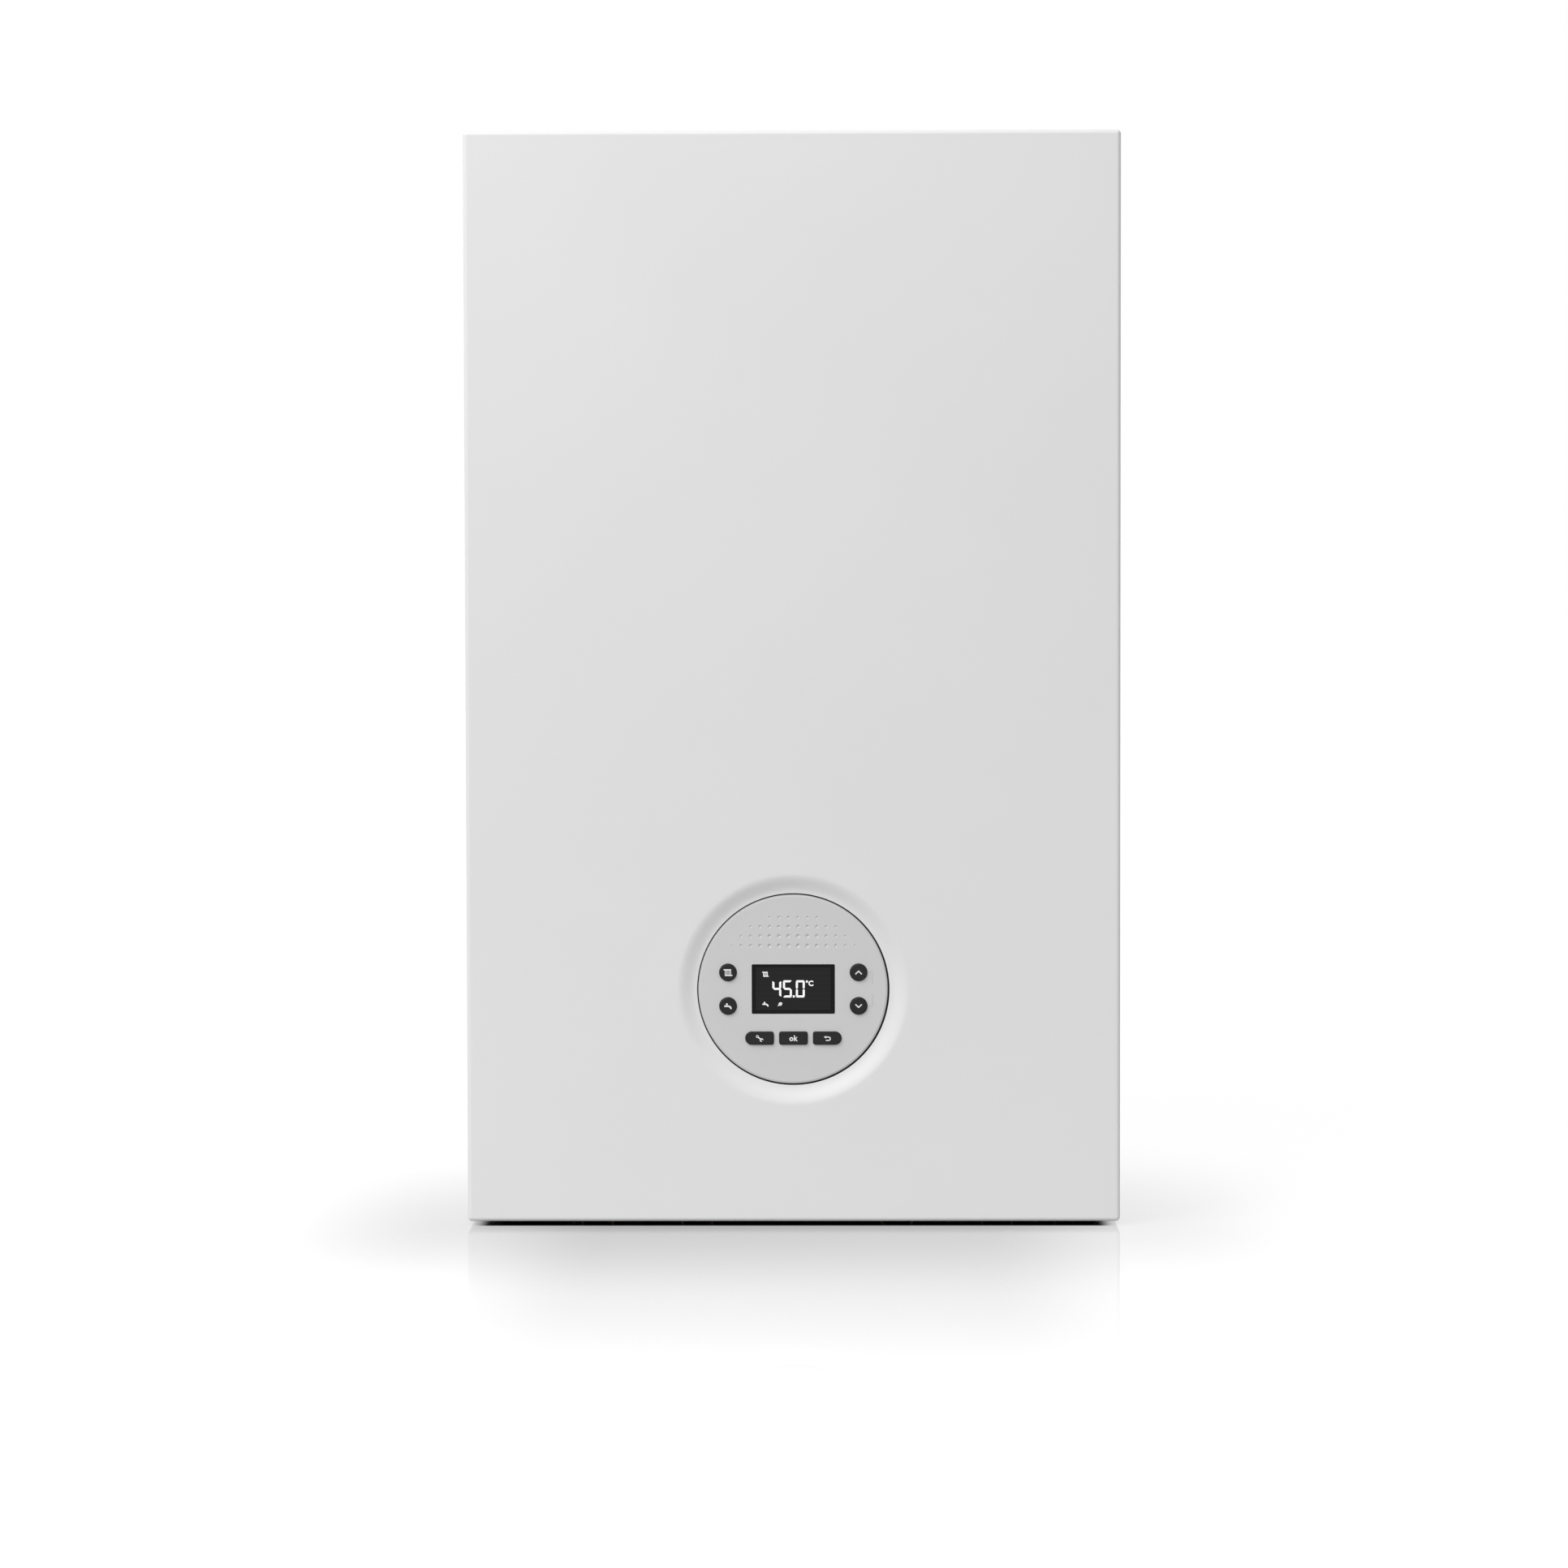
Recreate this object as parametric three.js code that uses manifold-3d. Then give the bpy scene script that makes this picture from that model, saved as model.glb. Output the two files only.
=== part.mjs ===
// A wall-hung combi boiler: a white lift-off case round a steel chassis that holds the
// expansion vessel, condensing heat exchanger, fan, gas valve, pump, diverter, plate
// exchanger and the hinged control box with its round fascia and seven push buttons.
// Millimetres. X runs to the right, Y towards the wall, Z up. Heights in this file are
// counted from the lower edge of the case; the finished group is lowered so that the
// origin lies on the wall, on the back face of the hanging bracket.
import * as THREE from "three";
import { mergeVertices } from "three/addons/utils/BufferGeometryUtils.js";
import Module from "manifold-3d";

const wasm = await Module();
wasm.setup();

// ---- driving dimensions -------------------------------------------------------------

const seat = 0.3; // gap left where one piece rests on another
const slack = 0.5; // radial running gap of a shaft in its hole

// outer case
const caseWidth = 400;
const caseHeight = 666;
const caseDepth = 300; // wall to front face
const caseSheet = 1.0;
const caseCorner = 4.2; // radius of the front view's corners
const caseEdge = 3.4; // radius where the front turns into the sides
const caseToWall = 8;
const caseFrontLip = 25; // return flange behind the front's top and bottom edge
const caseSideLip = 12;
const screwHead = 4; // radius
const screwShank = 2;
const screwInset = 18; // screw's axis from the side of the case
const screwToFront = 14;

// round recess in the case front
const panelHeight = 142.5; // centre of the fascia above the case's lower edge
const dishRadius = 70.3;
const dishDepth = 4.5;
const fasciaRadius = 58.8;
const fasciaGap = 1.0;
const fasciaThick = 4.7;
const fasciaSetBack = 4; // fascia's face behind the case's front

// chassis
const chassisSheet = 1.5;
const chassisToCase = 1.0;
const panelToWall = 14; // back panel stands off the wall by this much
const backSheet = 1.2;
const bottomPlateHeight = 42;
const sideDepth = 205; // wall to the front edge of the side panels
const hingeArmHeight = 70;
const screwSlot = 2.5; // half the width of the slot for a case screw

// hanging bracket
const bracketWidth = 280;
const bracketSheet = 2;
const bracketHeight = 40;
const bracketDrop = 46; // case top down to the bracket's shelf
const bracketLip = 12;
const bracketReach = 12;
const slotLength = 20;
const slotWidth = 9;
const slotSpacing = 200;

// connections in a row under the boiler
const tailPitch = 65;
const tailToWall = 110;
const tailRadius = 10.5;
const tailEnd = 8;
const gasPipeRadius = 9;

// expansion vessel
const vesselWidth = 300;
const vesselHeight = 400;
const vesselDepth = 70;
const vesselBottom = 250;
const vesselCorner = 45;
const vesselWall = 1.5;
const vesselCrimp = 4; // how far the crimped seam stands out
const vesselDish = 14; // rounding of the two pressed halves

// condensing heat exchanger
const exchangerRadius = 90;
const exchangerWall = 6;
const exchangerHeight = 525; // its axis
const exchangerBack = 92; // from the wall
const exchangerFront = 245;
const exchangerFlange = 7;
const coilTurns = 6;
const coilInner = 58;
const coilBack = 160;
const burnerRadius = 34;
const doorThick = 11.7;

// flue
const flueToWall = 145;
const flueBore = 29;
const flueWall = 2.5;
const airBore = 51.5;
const collarWall = 3;
const collarFlange = 64;
const collarDepth = 31;

// fan
const fanSide = -95;
const fanHeight = 370;
const fanRadius = 58;
const fanWall = 4;
const fanBack = 195;
const fanFront = 245;
const fanMotorRadius = 40;
const impellerRadius = 50;
const shaftRadius = 4;
const spoutWidth = 40;
const nozzleRadius = 20;
const nozzleHeight = 462;

// control box
const boxWidth = 300;
const boxBottom = 24;
const boxHeight = 190;
const boxDepth = 75;
const boxWall = 2;
const boxSetBack = 9; // its face behind the case's front
const hingeRadius = 4;
const hingeInset = 10; // hinge axis from the box's face and from its underside
const lugDepth = 12; // length of the bearing lug at either end of the box

// buttons and window, placed from the fascia's centre
const buttonRadius = 5.15;
const buttonProud = 1.5;
const buttonFlange = 1.2; // rim behind the fascia that keeps a button in
const buttonSide = 40;
const buttonRise = 10.3;
const keyWidth = 17;
const keyHeight = 7.6;
const keyPitch = 20.75;
const keyDrop = 30.1;
const buttonGap = 0.3;
const windowWidth = 51;
const windowHeight = 30.6;

// hydraulics
const plateWidth = 180;
const plateHeight = 75;
const plateBottom = 60;
const plateBack = 36;
const plateFront = 82;
const plateCount = 12;
const blockTop = 82;
const blockFront = 132;
const pumpSide = 115;
const pumpHeight = 130;
const pumpRadius = 45;
const pumpMotorRadius = 40;
const pumpImpellerRadius = 33;
const diverterSide = -85;
const trapSide = 168;
const trapToWall = 55;
const trapRadius = 20;
const gaugeSide = -160;
const gaugeToWall = 165;
const gaugeRadius = 19;
const fillSide = 97.5;
const fillToWall = 160;
const reliefSide = 174;
const glandSide = -165;
const glandToWall = 60;
const glandBore = 4.5;

// ---- derived places -----------------------------------------------------------------

const frontY = -caseDepth;
const fasciaY = frontY + fasciaSetBack;
const fasciaBackY = fasciaY + fasciaThick;
const screwSide = caseWidth / 2 - screwInset;
const screwY = frontY + screwToFront;
const boxFrontY = frontY + boxSetBack;
const boxBackY = boxFrontY + boxDepth;
const hingeY = boxFrontY + hingeInset;
const hingeZ = boxBottom + hingeInset;
const panelOuter = caseWidth / 2 - caseSheet - chassisToCase; // outside of a side panel
const panelInner = panelOuter - chassisSheet;
const topPlateTop = caseHeight - caseSheet - seat;
const topPlateUnder = topPlateTop - chassisSheet;
const backFaceY = -panelToWall - backSheet; // inside face of the back panel
const plateTop = bottomPlateHeight + chassisSheet; // top of the bottom plate
const bracketShelf = caseHeight - bracketDrop;
const bracketMiddle = bracketShelf - bracketHeight / 2;
const spoutOuter = fanSide - fanRadius;
const spoutMiddle = spoutOuter + nozzleRadius + 2;
const spoutTop = nozzleHeight + nozzleRadius + 3;
const doorBackY = -exchangerFront - seat;
const doorFrontY = doorBackY - doorThick;

// ---- shapes -------------------------------------------------------------------------

const block = (x0, x1, y0, y1, z0, z1) =>
  new THREE.BoxGeometry(x1 - x0, y1 - y0, z1 - z0).translate(
    (x0 + x1) / 2,
    (y0 + y1) / 2,
    (z0 + z1) / 2,
  );

// A round bar, or a cone, between two points.
function bar(from, to, radius, sides = 20, endRadius = radius) {
  const start = new THREE.Vector3(...from);
  const run = new THREE.Vector3(...to).sub(start);
  const length = run.length();
  const turn = new THREE.Quaternion().setFromUnitVectors(
    new THREE.Vector3(0, 1, 0),
    run.clone().normalize(),
  );
  return new THREE.CylinderGeometry(endRadius, radius, length, sides)
    .translate(0, length / 2, 0)
    .applyQuaternion(turn)
    .translate(start.x, start.y, start.z);
}

// A round bar along Y, at [x, z], or along Z, at [x, y].
const barY = ([x, z], from, to, radius, sides) => bar([x, from, z], [x, to, z], radius, sides);
const barZ = ([x, y], from, to, radius, sides) => bar([x, y, from], [x, y, to], radius, sides);

// A turned piece. The profile is [radius, place along the axis] pairs; axis is "y" or "z".
function turned(profile, axis, centre, sides = 24) {
  const area = profile.reduce((sum, [r, a], i) => {
    const [nextR, nextA] = profile[(i + 1) % profile.length];
    return sum + r * nextA - nextR * a;
  }, 0);
  const ordered = area > 0 ? profile : [...profile].reverse();
  const closed = [...ordered, ordered[0]].map(([r, a]) => new THREE.Vector2(r, a));
  const made = new THREE.LatheGeometry(closed, sides);
  if (axis === "z") made.rotateX(Math.PI / 2);
  return made.translate(...centre);
}

// An outline of [x, z] points standing in the front view, reaching forwards from backY.
function upright(points, backY, depth, bevel = 0, bevelSteps = 2) {
  const outline = new THREE.Shape(points.map(([x, z]) => new THREE.Vector2(x, z)));
  const made = new THREE.ExtrudeGeometry(outline, {
    depth: depth - 2 * bevel,
    bevelEnabled: bevel > 0,
    bevelSize: bevel,
    bevelThickness: bevel,
    bevelSegments: bevelSteps,
  });
  return made.translate(0, 0, bevel).rotateX(Math.PI / 2).translate(0, backY, 0);
}

// An outline of [y, z] points in the side view, reaching in X from x0 to x1.
function sideways(points, x0, x1) {
  const outline = new THREE.Shape(points.map(([y, z]) => new THREE.Vector2(y, z)));
  const made = new THREE.ExtrudeGeometry(outline, { depth: x1 - x0, bevelEnabled: false });
  const turn = new THREE.Matrix4().makeBasis(
    new THREE.Vector3(0, 1, 0),
    new THREE.Vector3(0, 0, 1),
    new THREE.Vector3(1, 0, 0),
  );
  return made.applyMatrix4(turn).translate(x0, 0, 0);
}

// The points of a rectangle with round corners; each corner may have its own radius,
// counted anticlockwise from the lower right.
function roundedRectangle(x, z, width, height, radii, steps = 4) {
  const corners = Array.isArray(radii) ? radii : [radii, radii, radii, radii];
  const signs = [[1, -1], [1, 1], [-1, 1], [-1, -1]];
  return signs.flatMap(([sx, sz], i) => {
    const r = corners[i];
    const cx = x + sx * (width / 2 - r);
    const cz = z + sz * (height / 2 - r);
    return Array.from({ length: steps + 1 }, (_, k) => {
      const angle = -Math.PI / 2 + (i + k / steps) * (Math.PI / 2);
      return [cx + r * Math.cos(angle), cz + r * Math.sin(angle)];
    });
  });
}

// A curve through given stations, each an even step of the parameter, so that a sweep
// spends its rings on the bends.
class StationPath extends THREE.Curve {
  constructor(stations) {
    super();
    this.stations = stations;
  }
  getPoint(t, target = new THREE.Vector3()) {
    const place = Math.min(Math.max(t, 0), 1) * (this.stations.length - 1);
    const i = Math.min(Math.floor(place), this.stations.length - 2);
    return target.lerpVectors(this.stations[i], this.stations[i + 1], place - i);
  }
  getUtoTmapping(u) {
    return u;
  }
}

// A bent pipe through the corners given, with each bend an arc of bendRadius.
function pipe(corners, radius, bendRadius, sides = 10, bendSteps = 4) {
  const points = corners.map((p) => new THREE.Vector3(...p));
  const stations = [points[0]];
  for (let i = 1; i < points.length - 1; i++) {
    const inward = points[i - 1].clone().sub(points[i]).normalize();
    const outward = points[i + 1].clone().sub(points[i]).normalize();
    const half = inward.angleTo(outward) / 2;
    const centre = inward.clone().add(outward).normalize().multiplyScalar(bendRadius / Math.sin(half));
    centre.add(points[i]);
    const tangentLength = bendRadius / Math.tan(half);
    const start = points[i].clone().addScaledVector(inward, tangentLength).sub(centre);
    const axis = new THREE.Vector3().crossVectors(outward, inward).normalize();
    const sweep = Math.PI - 2 * half;
    for (let k = 0; k <= bendSteps; k++) {
      const arm = start.clone().applyAxisAngle(axis, (sweep * k) / bendSteps);
      stations.push(arm.add(centre));
    }
  }
  stations.push(points.at(-1));
  const ring = Array.from({ length: sides }, (_, k) => {
    const angle = (2 * Math.PI * k) / sides;
    return new THREE.Vector2(radius * Math.cos(angle), radius * Math.sin(angle));
  });
  return new THREE.ExtrudeGeometry(new THREE.Shape(ring), {
    steps: stations.length - 1,
    extrudePath: new StationPath(stations),
  });
}

// ---- joining and cutting ------------------------------------------------------------

function solid(geometry) {
  if (geometry instanceof wasm.Manifold) return geometry;
  const bare = geometry.clone();
  bare.deleteAttribute("normal");
  bare.deleteAttribute("uv");
  const merged = mergeVertices(bare, 1e-4);
  return new wasm.Manifold(
    new wasm.Mesh({
      numProp: 3,
      vertProperties: merged.attributes.position.array,
      triVerts: new Uint32Array(merged.index.array),
    }),
  );
}

const join = (...pieces) => pieces.map(solid).reduce((all, next) => all.add(next));
const cut = (body, ...tools) => tools.map(solid).reduce((left, tool) => left.subtract(tool), solid(body));

function geometryOf(made) {
  const { vertProperties, triVerts, numProp, numVert } = solid(made).getMesh();
  const places = new Float32Array(numVert * 3);
  for (let i = 0; i < numVert; i++) {
    places.set(vertProperties.subarray(i * numProp, i * numProp + 3), i * 3);
  }
  return new THREE.BufferGeometry()
    .setAttribute("position", new THREE.BufferAttribute(places, 3))
    .setIndex(new THREE.BufferAttribute(triVerts, 1));
}

// ---- materials ----------------------------------------------------------------------

const finish = (color, roughness, metalness = 0) =>
  new THREE.MeshStandardMaterial({ color, roughness, metalness });
const whiteEnamel = finish(0xf2f2f2, 0.35);
const zincSteel = finish(0xb4b8ba, 0.45, 0.8);
const stainless = finish(0xc8c8c6, 0.3, 1);
const castAluminium = finish(0xa9abac, 0.55, 0.9);
const copper = finish(0xb8704a, 0.35, 1);
const brass = finish(0xb5964f, 0.4, 1);
const redPaint = finish(0xa8322a, 0.4);
const greyPlastic = finish(0xc9c9c9, 0.5);
const darkPlastic = finish(0x2b2b2c, 0.5);
const blackRubber = finish(0x262626, 0.7);
const boardGreen = finish(0x2e5b3c, 0.5);
const smokedLens = finish(0x1c1c1c, 0.1);
const paleFibre = finish(0xe6e1d6, 0.95);
const greyPipe = finish(0x8d9194, 0.5);
const redPlastic = finish(0xb02a22, 0.45);

const boiler = new THREE.Group();
boiler.position.z = -bracketMiddle;

function piece(name, made, material) {
  const mesh = new THREE.Mesh(geometryOf(made), material);
  mesh.name = name;
  boiler.add(mesh);
  return mesh;
}

// ---- outer case ---------------------------------------------------------------------

// A box with round front-view corners and a rounded front edge, open to the back.
function caseBlock(inset, backY) {
  const edge = caseEdge - inset;
  const width = caseWidth - 2 * inset;
  const height = caseHeight - 2 * inset;
  const outline = roundedRectangle(
    0,
    caseHeight / 2,
    width - 2 * edge,
    height - 2 * edge,
    caseCorner - caseEdge,
    2,
  );
  const overrun = 10; // squared off behind backY, where the bevel would round it too
  const slab = upright(outline, backY + overrun, backY + overrun - frontY - inset, edge);
  return cut(slab, block(-caseWidth, caseWidth, backY, backY + 2 * overrun, -10, caseHeight + 10));
}

// The curve of the recess from its rim to the fascia's hole, as [radius, depth] pairs.
function dishCurve() {
  const rim = dishRadius + 2;
  const hole = fasciaRadius + fasciaGap;
  const shares = [0, 0.22, 0.5, 0.78, 1];
  return shares.map((s) => [
    rim + (hole - rim) * s,
    dishDepth * (1 - Math.cos(Math.PI * s)) / 2,
  ]);
}

function outerCase() {
  const shell = cut(caseBlock(0, -caseToWall), caseBlock(caseSheet, caseToWall));
  const lipless = [
    -caseWidth / 2 + caseSheet + caseSideLip,
    caseWidth / 2 - caseSheet - caseSideLip,
    frontY + caseSheet + caseFrontLip,
    0,
  ];
  const opened = cut(
    shell,
    block(...lipless, caseHeight / 2, caseHeight + 5),
    block(...lipless, -5, caseHeight / 2),
    barY([0, panelHeight], frontY - 5, frontY + 5, dishRadius + 1, 40),
    ...[-1, 1].map((s) => barZ([s * screwSide, screwY], -5, 5, screwHead + seat, 16)),
  );
  const front = dishCurve();
  const back = front.map(([r, d]) => [r, d + caseSheet]).reverse();
  const dish = turned([...front, ...back], "y", [0, frontY, panelHeight], 40);
  return join(opened, dish);
}

// A captive quarter-turn screw whose head lies flush in the case's lower flange.
const caseScrew = (side) => {
  const profile = [
    [0, 0.2],
    [screwHead, 0.2],
    [screwHead, caseSheet + seat],
    [screwHead + 2, caseSheet + seat],
    [screwHead + 2, caseSheet + 1.3],
    [screwShank, caseSheet + 1.3],
    [screwShank, 9],
    [0, 9],
  ];
  return turned(profile, "z", [side * screwSide, screwY, 0], 12);
};

piece("outer_case", outerCase(), whiteEnamel);
piece("case_screw_left", caseScrew(-1), stainless);
piece("case_screw_right", caseScrew(1), stainless);

// ---- chassis and wall bracket -------------------------------------------------------

function wallBracket() {
  const half = bracketWidth / 2;
  const plate = block(-half, half, -bracketSheet, 0, bracketShelf - bracketHeight, bracketShelf);
  const shelf = block(-half, half, -bracketReach, 0, bracketShelf - bracketSheet, bracketShelf);
  const lip = block(
    -half,
    half,
    -bracketReach,
    -bracketReach + bracketSheet,
    bracketShelf - bracketSheet,
    bracketShelf + bracketLip,
  );
  const slots = [-1, 1].map((s) =>
    upright(
      roundedRectangle(s * slotSpacing / 2, bracketMiddle, slotLength, slotWidth, slotWidth / 2),
      5,
      10,
    ),
  );
  return cut(join(plate, shelf, lip), ...slots);
}

// The back panel with its hanging hook and the folded foot that spaces it off the wall.
function backPanel() {
  const width = 2 * (panelInner - seat);
  const half = width / 2;
  const hookWidth = bracketWidth - 20;
  const hookTop = bracketShelf + bracketLip + seat + bracketSheet;
  const hookY = -bracketReach + bracketSheet + 3; // hook clears the bracket's lip
  return join(
    block(-half, half, backFaceY, -panelToWall, boxBottom - 16, topPlateUnder - seat),
    block(-hookWidth / 2, hookWidth / 2, -panelToWall - 0.5, hookY + 2, hookTop - bracketSheet, hookTop),
    block(-hookWidth / 2, hookWidth / 2, hookY, hookY + 2, bracketShelf + seat, hookTop),
    block(-half + 20, half - 20, -panelToWall - 0.5, 0, 20, 20 + backSheet),
    block(-half + 20, half - 20, -backSheet, 0, 20, bottomPlateHeight + 18),
  );
}

// A side panel: deep enough for the works, with a low arm forward to the box's hinge and
// a slotted tab at its foot that the case's screw engages from below.
const sidePanel = (side) => {
  const back = -panelToWall - backSheet - seat;
  const front = frontY + 6;
  const low = 6;
  const top = topPlateTop - 1.2;
  const outline = [
    [front, low],
    [back, low],
    [back, top],
    [-sideDepth, top],
    [-sideDepth, hingeArmHeight],
    [front, hingeArmHeight],
  ];
  const span = (from, to) => [from, to].map((x) => side * x).sort((a, b) => a - b);
  const tab = block(...span(screwSide - 6, panelInner + 0.5), front, screwY + 8, low, low + chassisSheet);
  const slot = block(...span(screwSide - screwSlot, screwSide + screwSlot), front - 5, screwY, 0, low + 5);
  const slotEnd = barZ([side * screwSide, screwY], 0, low + 5, screwSlot, 12);
  return cut(join(sideways(outline, ...span(panelInner, panelOuter)), tab), slot, slotEnd);
};

function topPlate() {
  const half = panelInner - seat;
  const front = frontY + 4;
  const plate = block(-half, half, front, backFaceY + backSheet + 0.5, topPlateUnder, topPlateTop);
  const lip = block(-half, half, front, front + chassisSheet, topPlateUnder - 12, topPlateTop);
  const hole = barZ([0, -flueToWall], topPlateUnder - 5, topPlateTop + 5, airBore + collarWall + 1, 32);
  return cut(join(plate, lip), hole);
}

const holeThroughPlate = (x, y, radius) =>
  barZ([x, y], bottomPlateHeight - 5, plateTop + 5, radius, 16);

function bottomPlate() {
  const half = panelInner - seat;
  const plate = block(-half, half, -sideDepth + 2, backFaceY - seat, bottomPlateHeight, plateTop);
  const tails = [-2, -1, 0, 1, 2].map((i) =>
    holeThroughPlate(i * tailPitch, -tailToWall, tailRadius + 1.5),
  );
  return cut(
    plate,
    ...tails,
    holeThroughPlate(trapSide, -trapToWall, 10 + 1),
    holeThroughPlate(reliefSide, -tailToWall + 5, 8),
    holeThroughPlate(glandSide, -glandToWall, 8 + seat),
    holeThroughPlate(fillSide, -fillToWall, 6 + seat),
    holeThroughPlate(gaugeSide, -gaugeToWall, 4 + seat),
  );
}

// The channel across the chassis that the heat exchanger sits on.
function supportRail() {
  const top = exchangerHeight - exchangerRadius - seat;
  const outline = [
    [-165, top - 10],
    [-163.5, top - 10],
    [-163.5, top - 1.5],
    [-126.5, top - 1.5],
    [-126.5, top - 10],
    [-125, top - 10],
    [-125, top],
    [-165, top],
  ];
  return sideways(outline, -panelInner + seat, panelInner - seat);
}

piece("wall_bracket", wallBracket(), zincSteel);
piece("back_panel", backPanel(), zincSteel);
piece("left_panel", sidePanel(-1), zincSteel);
piece("right_panel", sidePanel(1), zincSteel);
piece("top_plate", topPlate(), zincSteel);
piece("bottom_plate", bottomPlate(), zincSteel);
piece("support_rail", supportRail(), zincSteel);

// ---- heat exchanger and burner ------------------------------------------------------

const exchangerAxis = [0, 0, exchangerHeight];
const spigotTop = exchangerHeight + exchangerRadius + 11;
const portRise = 40; // water ports above and below the axis
const portY = -215;
const portEnd = exchangerRadius + 18;
const drainY = -exchangerBack - 16;
const drainEnd = exchangerHeight - exchangerRadius - 10;

function exchangerShell() {
  const inner = exchangerRadius - exchangerWall;
  const shell = turned(
    [
      [0, -exchangerBack],
      [exchangerRadius, -exchangerBack],
      [exchangerRadius, -exchangerFront + 5],
      [exchangerRadius + exchangerFlange, -exchangerFront + 5],
      [exchangerRadius + exchangerFlange, -exchangerFront],
      [inner, -exchangerFront],
      [inner, -exchangerBack - 5],
      [0, -exchangerBack - 5],
    ],
    "y",
    exchangerAxis,
    32,
  );
  const flueAxis = [0, -flueToWall];
  const flueBar = (low, high, radius) => bar([...flueAxis, low], [...flueAxis, high], radius, 24);
  const spigot = flueBar(exchangerHeight + inner - 10, spigotTop, flueBore + 4);
  const spigotBore = flueBar(exchangerHeight + 40, spigotTop + 5, flueBore);
  const hollow = barY([0, exchangerHeight], -exchangerFront + 1, -exchangerBack - 5, inner, 32);
  const drain = barZ([0, drainY], exchangerHeight - inner, drainEnd, 8, 12);
  const ports = [-1, 1].map((s) =>
    bar(
      [s * (inner - 14), portY, exchangerHeight - s * portRise],
      [s * portEnd, portY, exchangerHeight - s * portRise],
      gasPipeRadius + 1,
      12,
    ),
  );
  return cut(join(shell, cut(join(spigot, drain, ...ports), hollow)), spigotBore);
}

// The water tube, wound flat: its turns show as rounded ribs inside and outside.
function exchangerCoil() {
  const outer = exchangerRadius - exchangerWall - slack;
  const front = -exchangerFront + 13;
  const pitch = (-coilBack - front) / coilTurns;
  const ribs = Array.from({ length: coilTurns }, (_, i) => front + pitch * i);
  const outside = ribs.flatMap((y) => [
    [outer - 2, y],
    [outer, y + pitch * 0.3],
    [outer, y + pitch * 0.7],
  ]);
  const inside = ribs
    .flatMap((y) => [
      [coilInner + 2, y],
      [coilInner, y + pitch * 0.3],
      [coilInner, y + pitch * 0.7],
    ])
    .reverse();
  const end = [
    [outer - 2, -coilBack],
    [coilInner + 2, -coilBack],
  ];
  return turned([...outside, ...end, ...inside], "y", exchangerAxis, 24);
}

const electrodeReach = 37; // beside and above the burner's axis
const electrodeAt = (y) => [electrodeReach, y, exchangerHeight + electrodeReach];
const electrodeHole = bar(electrodeAt(-300), electrodeAt(-200), 6, 12);

// The cast door, with the duct on its face that brings the mixture across from the fan.
function burnerDoor() {
  const disc = barY([0, exchangerHeight], doorBackY, doorFrontY, exchangerRadius + exchangerFlange, 32);
  const ductOutline = tangentHull([0, exchangerHeight, 32], [spoutMiddle, nozzleHeight, nozzleRadius + 5]);
  const duct = upright(ductOutline, doorFrontY + 1, 25, 3, 1);
  const inlet = barY([0, exchangerHeight], doorBackY + 1, doorFrontY - 12, 22, 24);
  return cut(join(disc, duct), inlet, electrodeHole);
}

// The outline round two circles, each [x, z, radius], the first to the right.
function tangentHull([ax, az, ar], [bx, bz, br], steps = 10) {
  const away = Math.atan2(bz - az, bx - ax);
  const lean = Math.acos((ar - br) / Math.hypot(bx - ax, bz - az));
  const arc = (x, z, r, from, to) =>
    Array.from({ length: steps + 1 }, (_, k) => {
      const angle = from + ((to - from) * k) / steps;
      return [x + r * Math.cos(angle), z + r * Math.sin(angle)];
    });
  return [
    ...arc(ax, az, ar, away + lean, away + 2 * Math.PI - lean),
    ...arc(bx, bz, br, away - lean, away + lean),
  ];
}

// The stainless burner: a thin cup with a flange against the door.
function burnerTube() {
  const flange = doorBackY + seat;
  const tip = flange + 75;
  return turned(
    [
      [burnerRadius - 1.5, flange],
      [burnerRadius + 6, flange],
      [burnerRadius + 6, flange + 1.5],
      [burnerRadius, flange + 1.5],
      [burnerRadius, tip],
      [0, tip],
      [0, tip - 1.5],
      [burnerRadius - 1.5, tip - 1.5],
    ],
    "y",
    exchangerAxis,
    24,
  );
}

function doorInsulation() {
  const inner = burnerRadius + 7;
  const outer = exchangerRadius - exchangerWall - 1;
  const front = doorBackY + seat;
  const ring = turned(
    [
      [inner, front],
      [outer, front],
      [outer, front + 9],
      [inner, front + 9],
    ],
    "y",
    exchangerAxis,
    24,
  );
  return cut(ring, electrodeHole);
}

// Spark and flame-sensing rods in one ceramic block on the door.
function electrodeSet() {
  const face = doorFrontY - seat;
  const [x, , z] = electrodeAt(0);
  const rods = [-3, 3].map((step) => barY([x + step, z - step], face, -215, 1.3, 8));
  return join(
    block(x - 14, x + 14, face - 3, face, z - 8, z + 8),
    barY([x - 6, z], face - 14, face, 4, 10),
    barY([x + 6, z], face - 14, face, 4, 10),
    barY([x, z], face - 1, face + doorThick, 5, 12),
    ...rods,
  );
}

piece("exchanger_shell", exchangerShell(), stainless);
piece("exchanger_coil", exchangerCoil(), stainless);
piece("burner_door", burnerDoor(), castAluminium);
piece("burner_tube", burnerTube(), stainless);
piece("door_insulation", doorInsulation(), paleFibre);
piece("electrode_set", electrodeSet(), paleFibre);

// ---- flue ---------------------------------------------------------------------------

const flueDuct = () => {
  const low = spigotTop + seat;
  const high = topPlateTop - 4;
  return turned(
    [
      [flueBore, low],
      [flueBore + flueWall, low],
      [flueBore + flueWall, high],
      [flueBore, high],
    ],
    "z",
    [0, -flueToWall, 0],
    28,
  );
};

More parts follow.
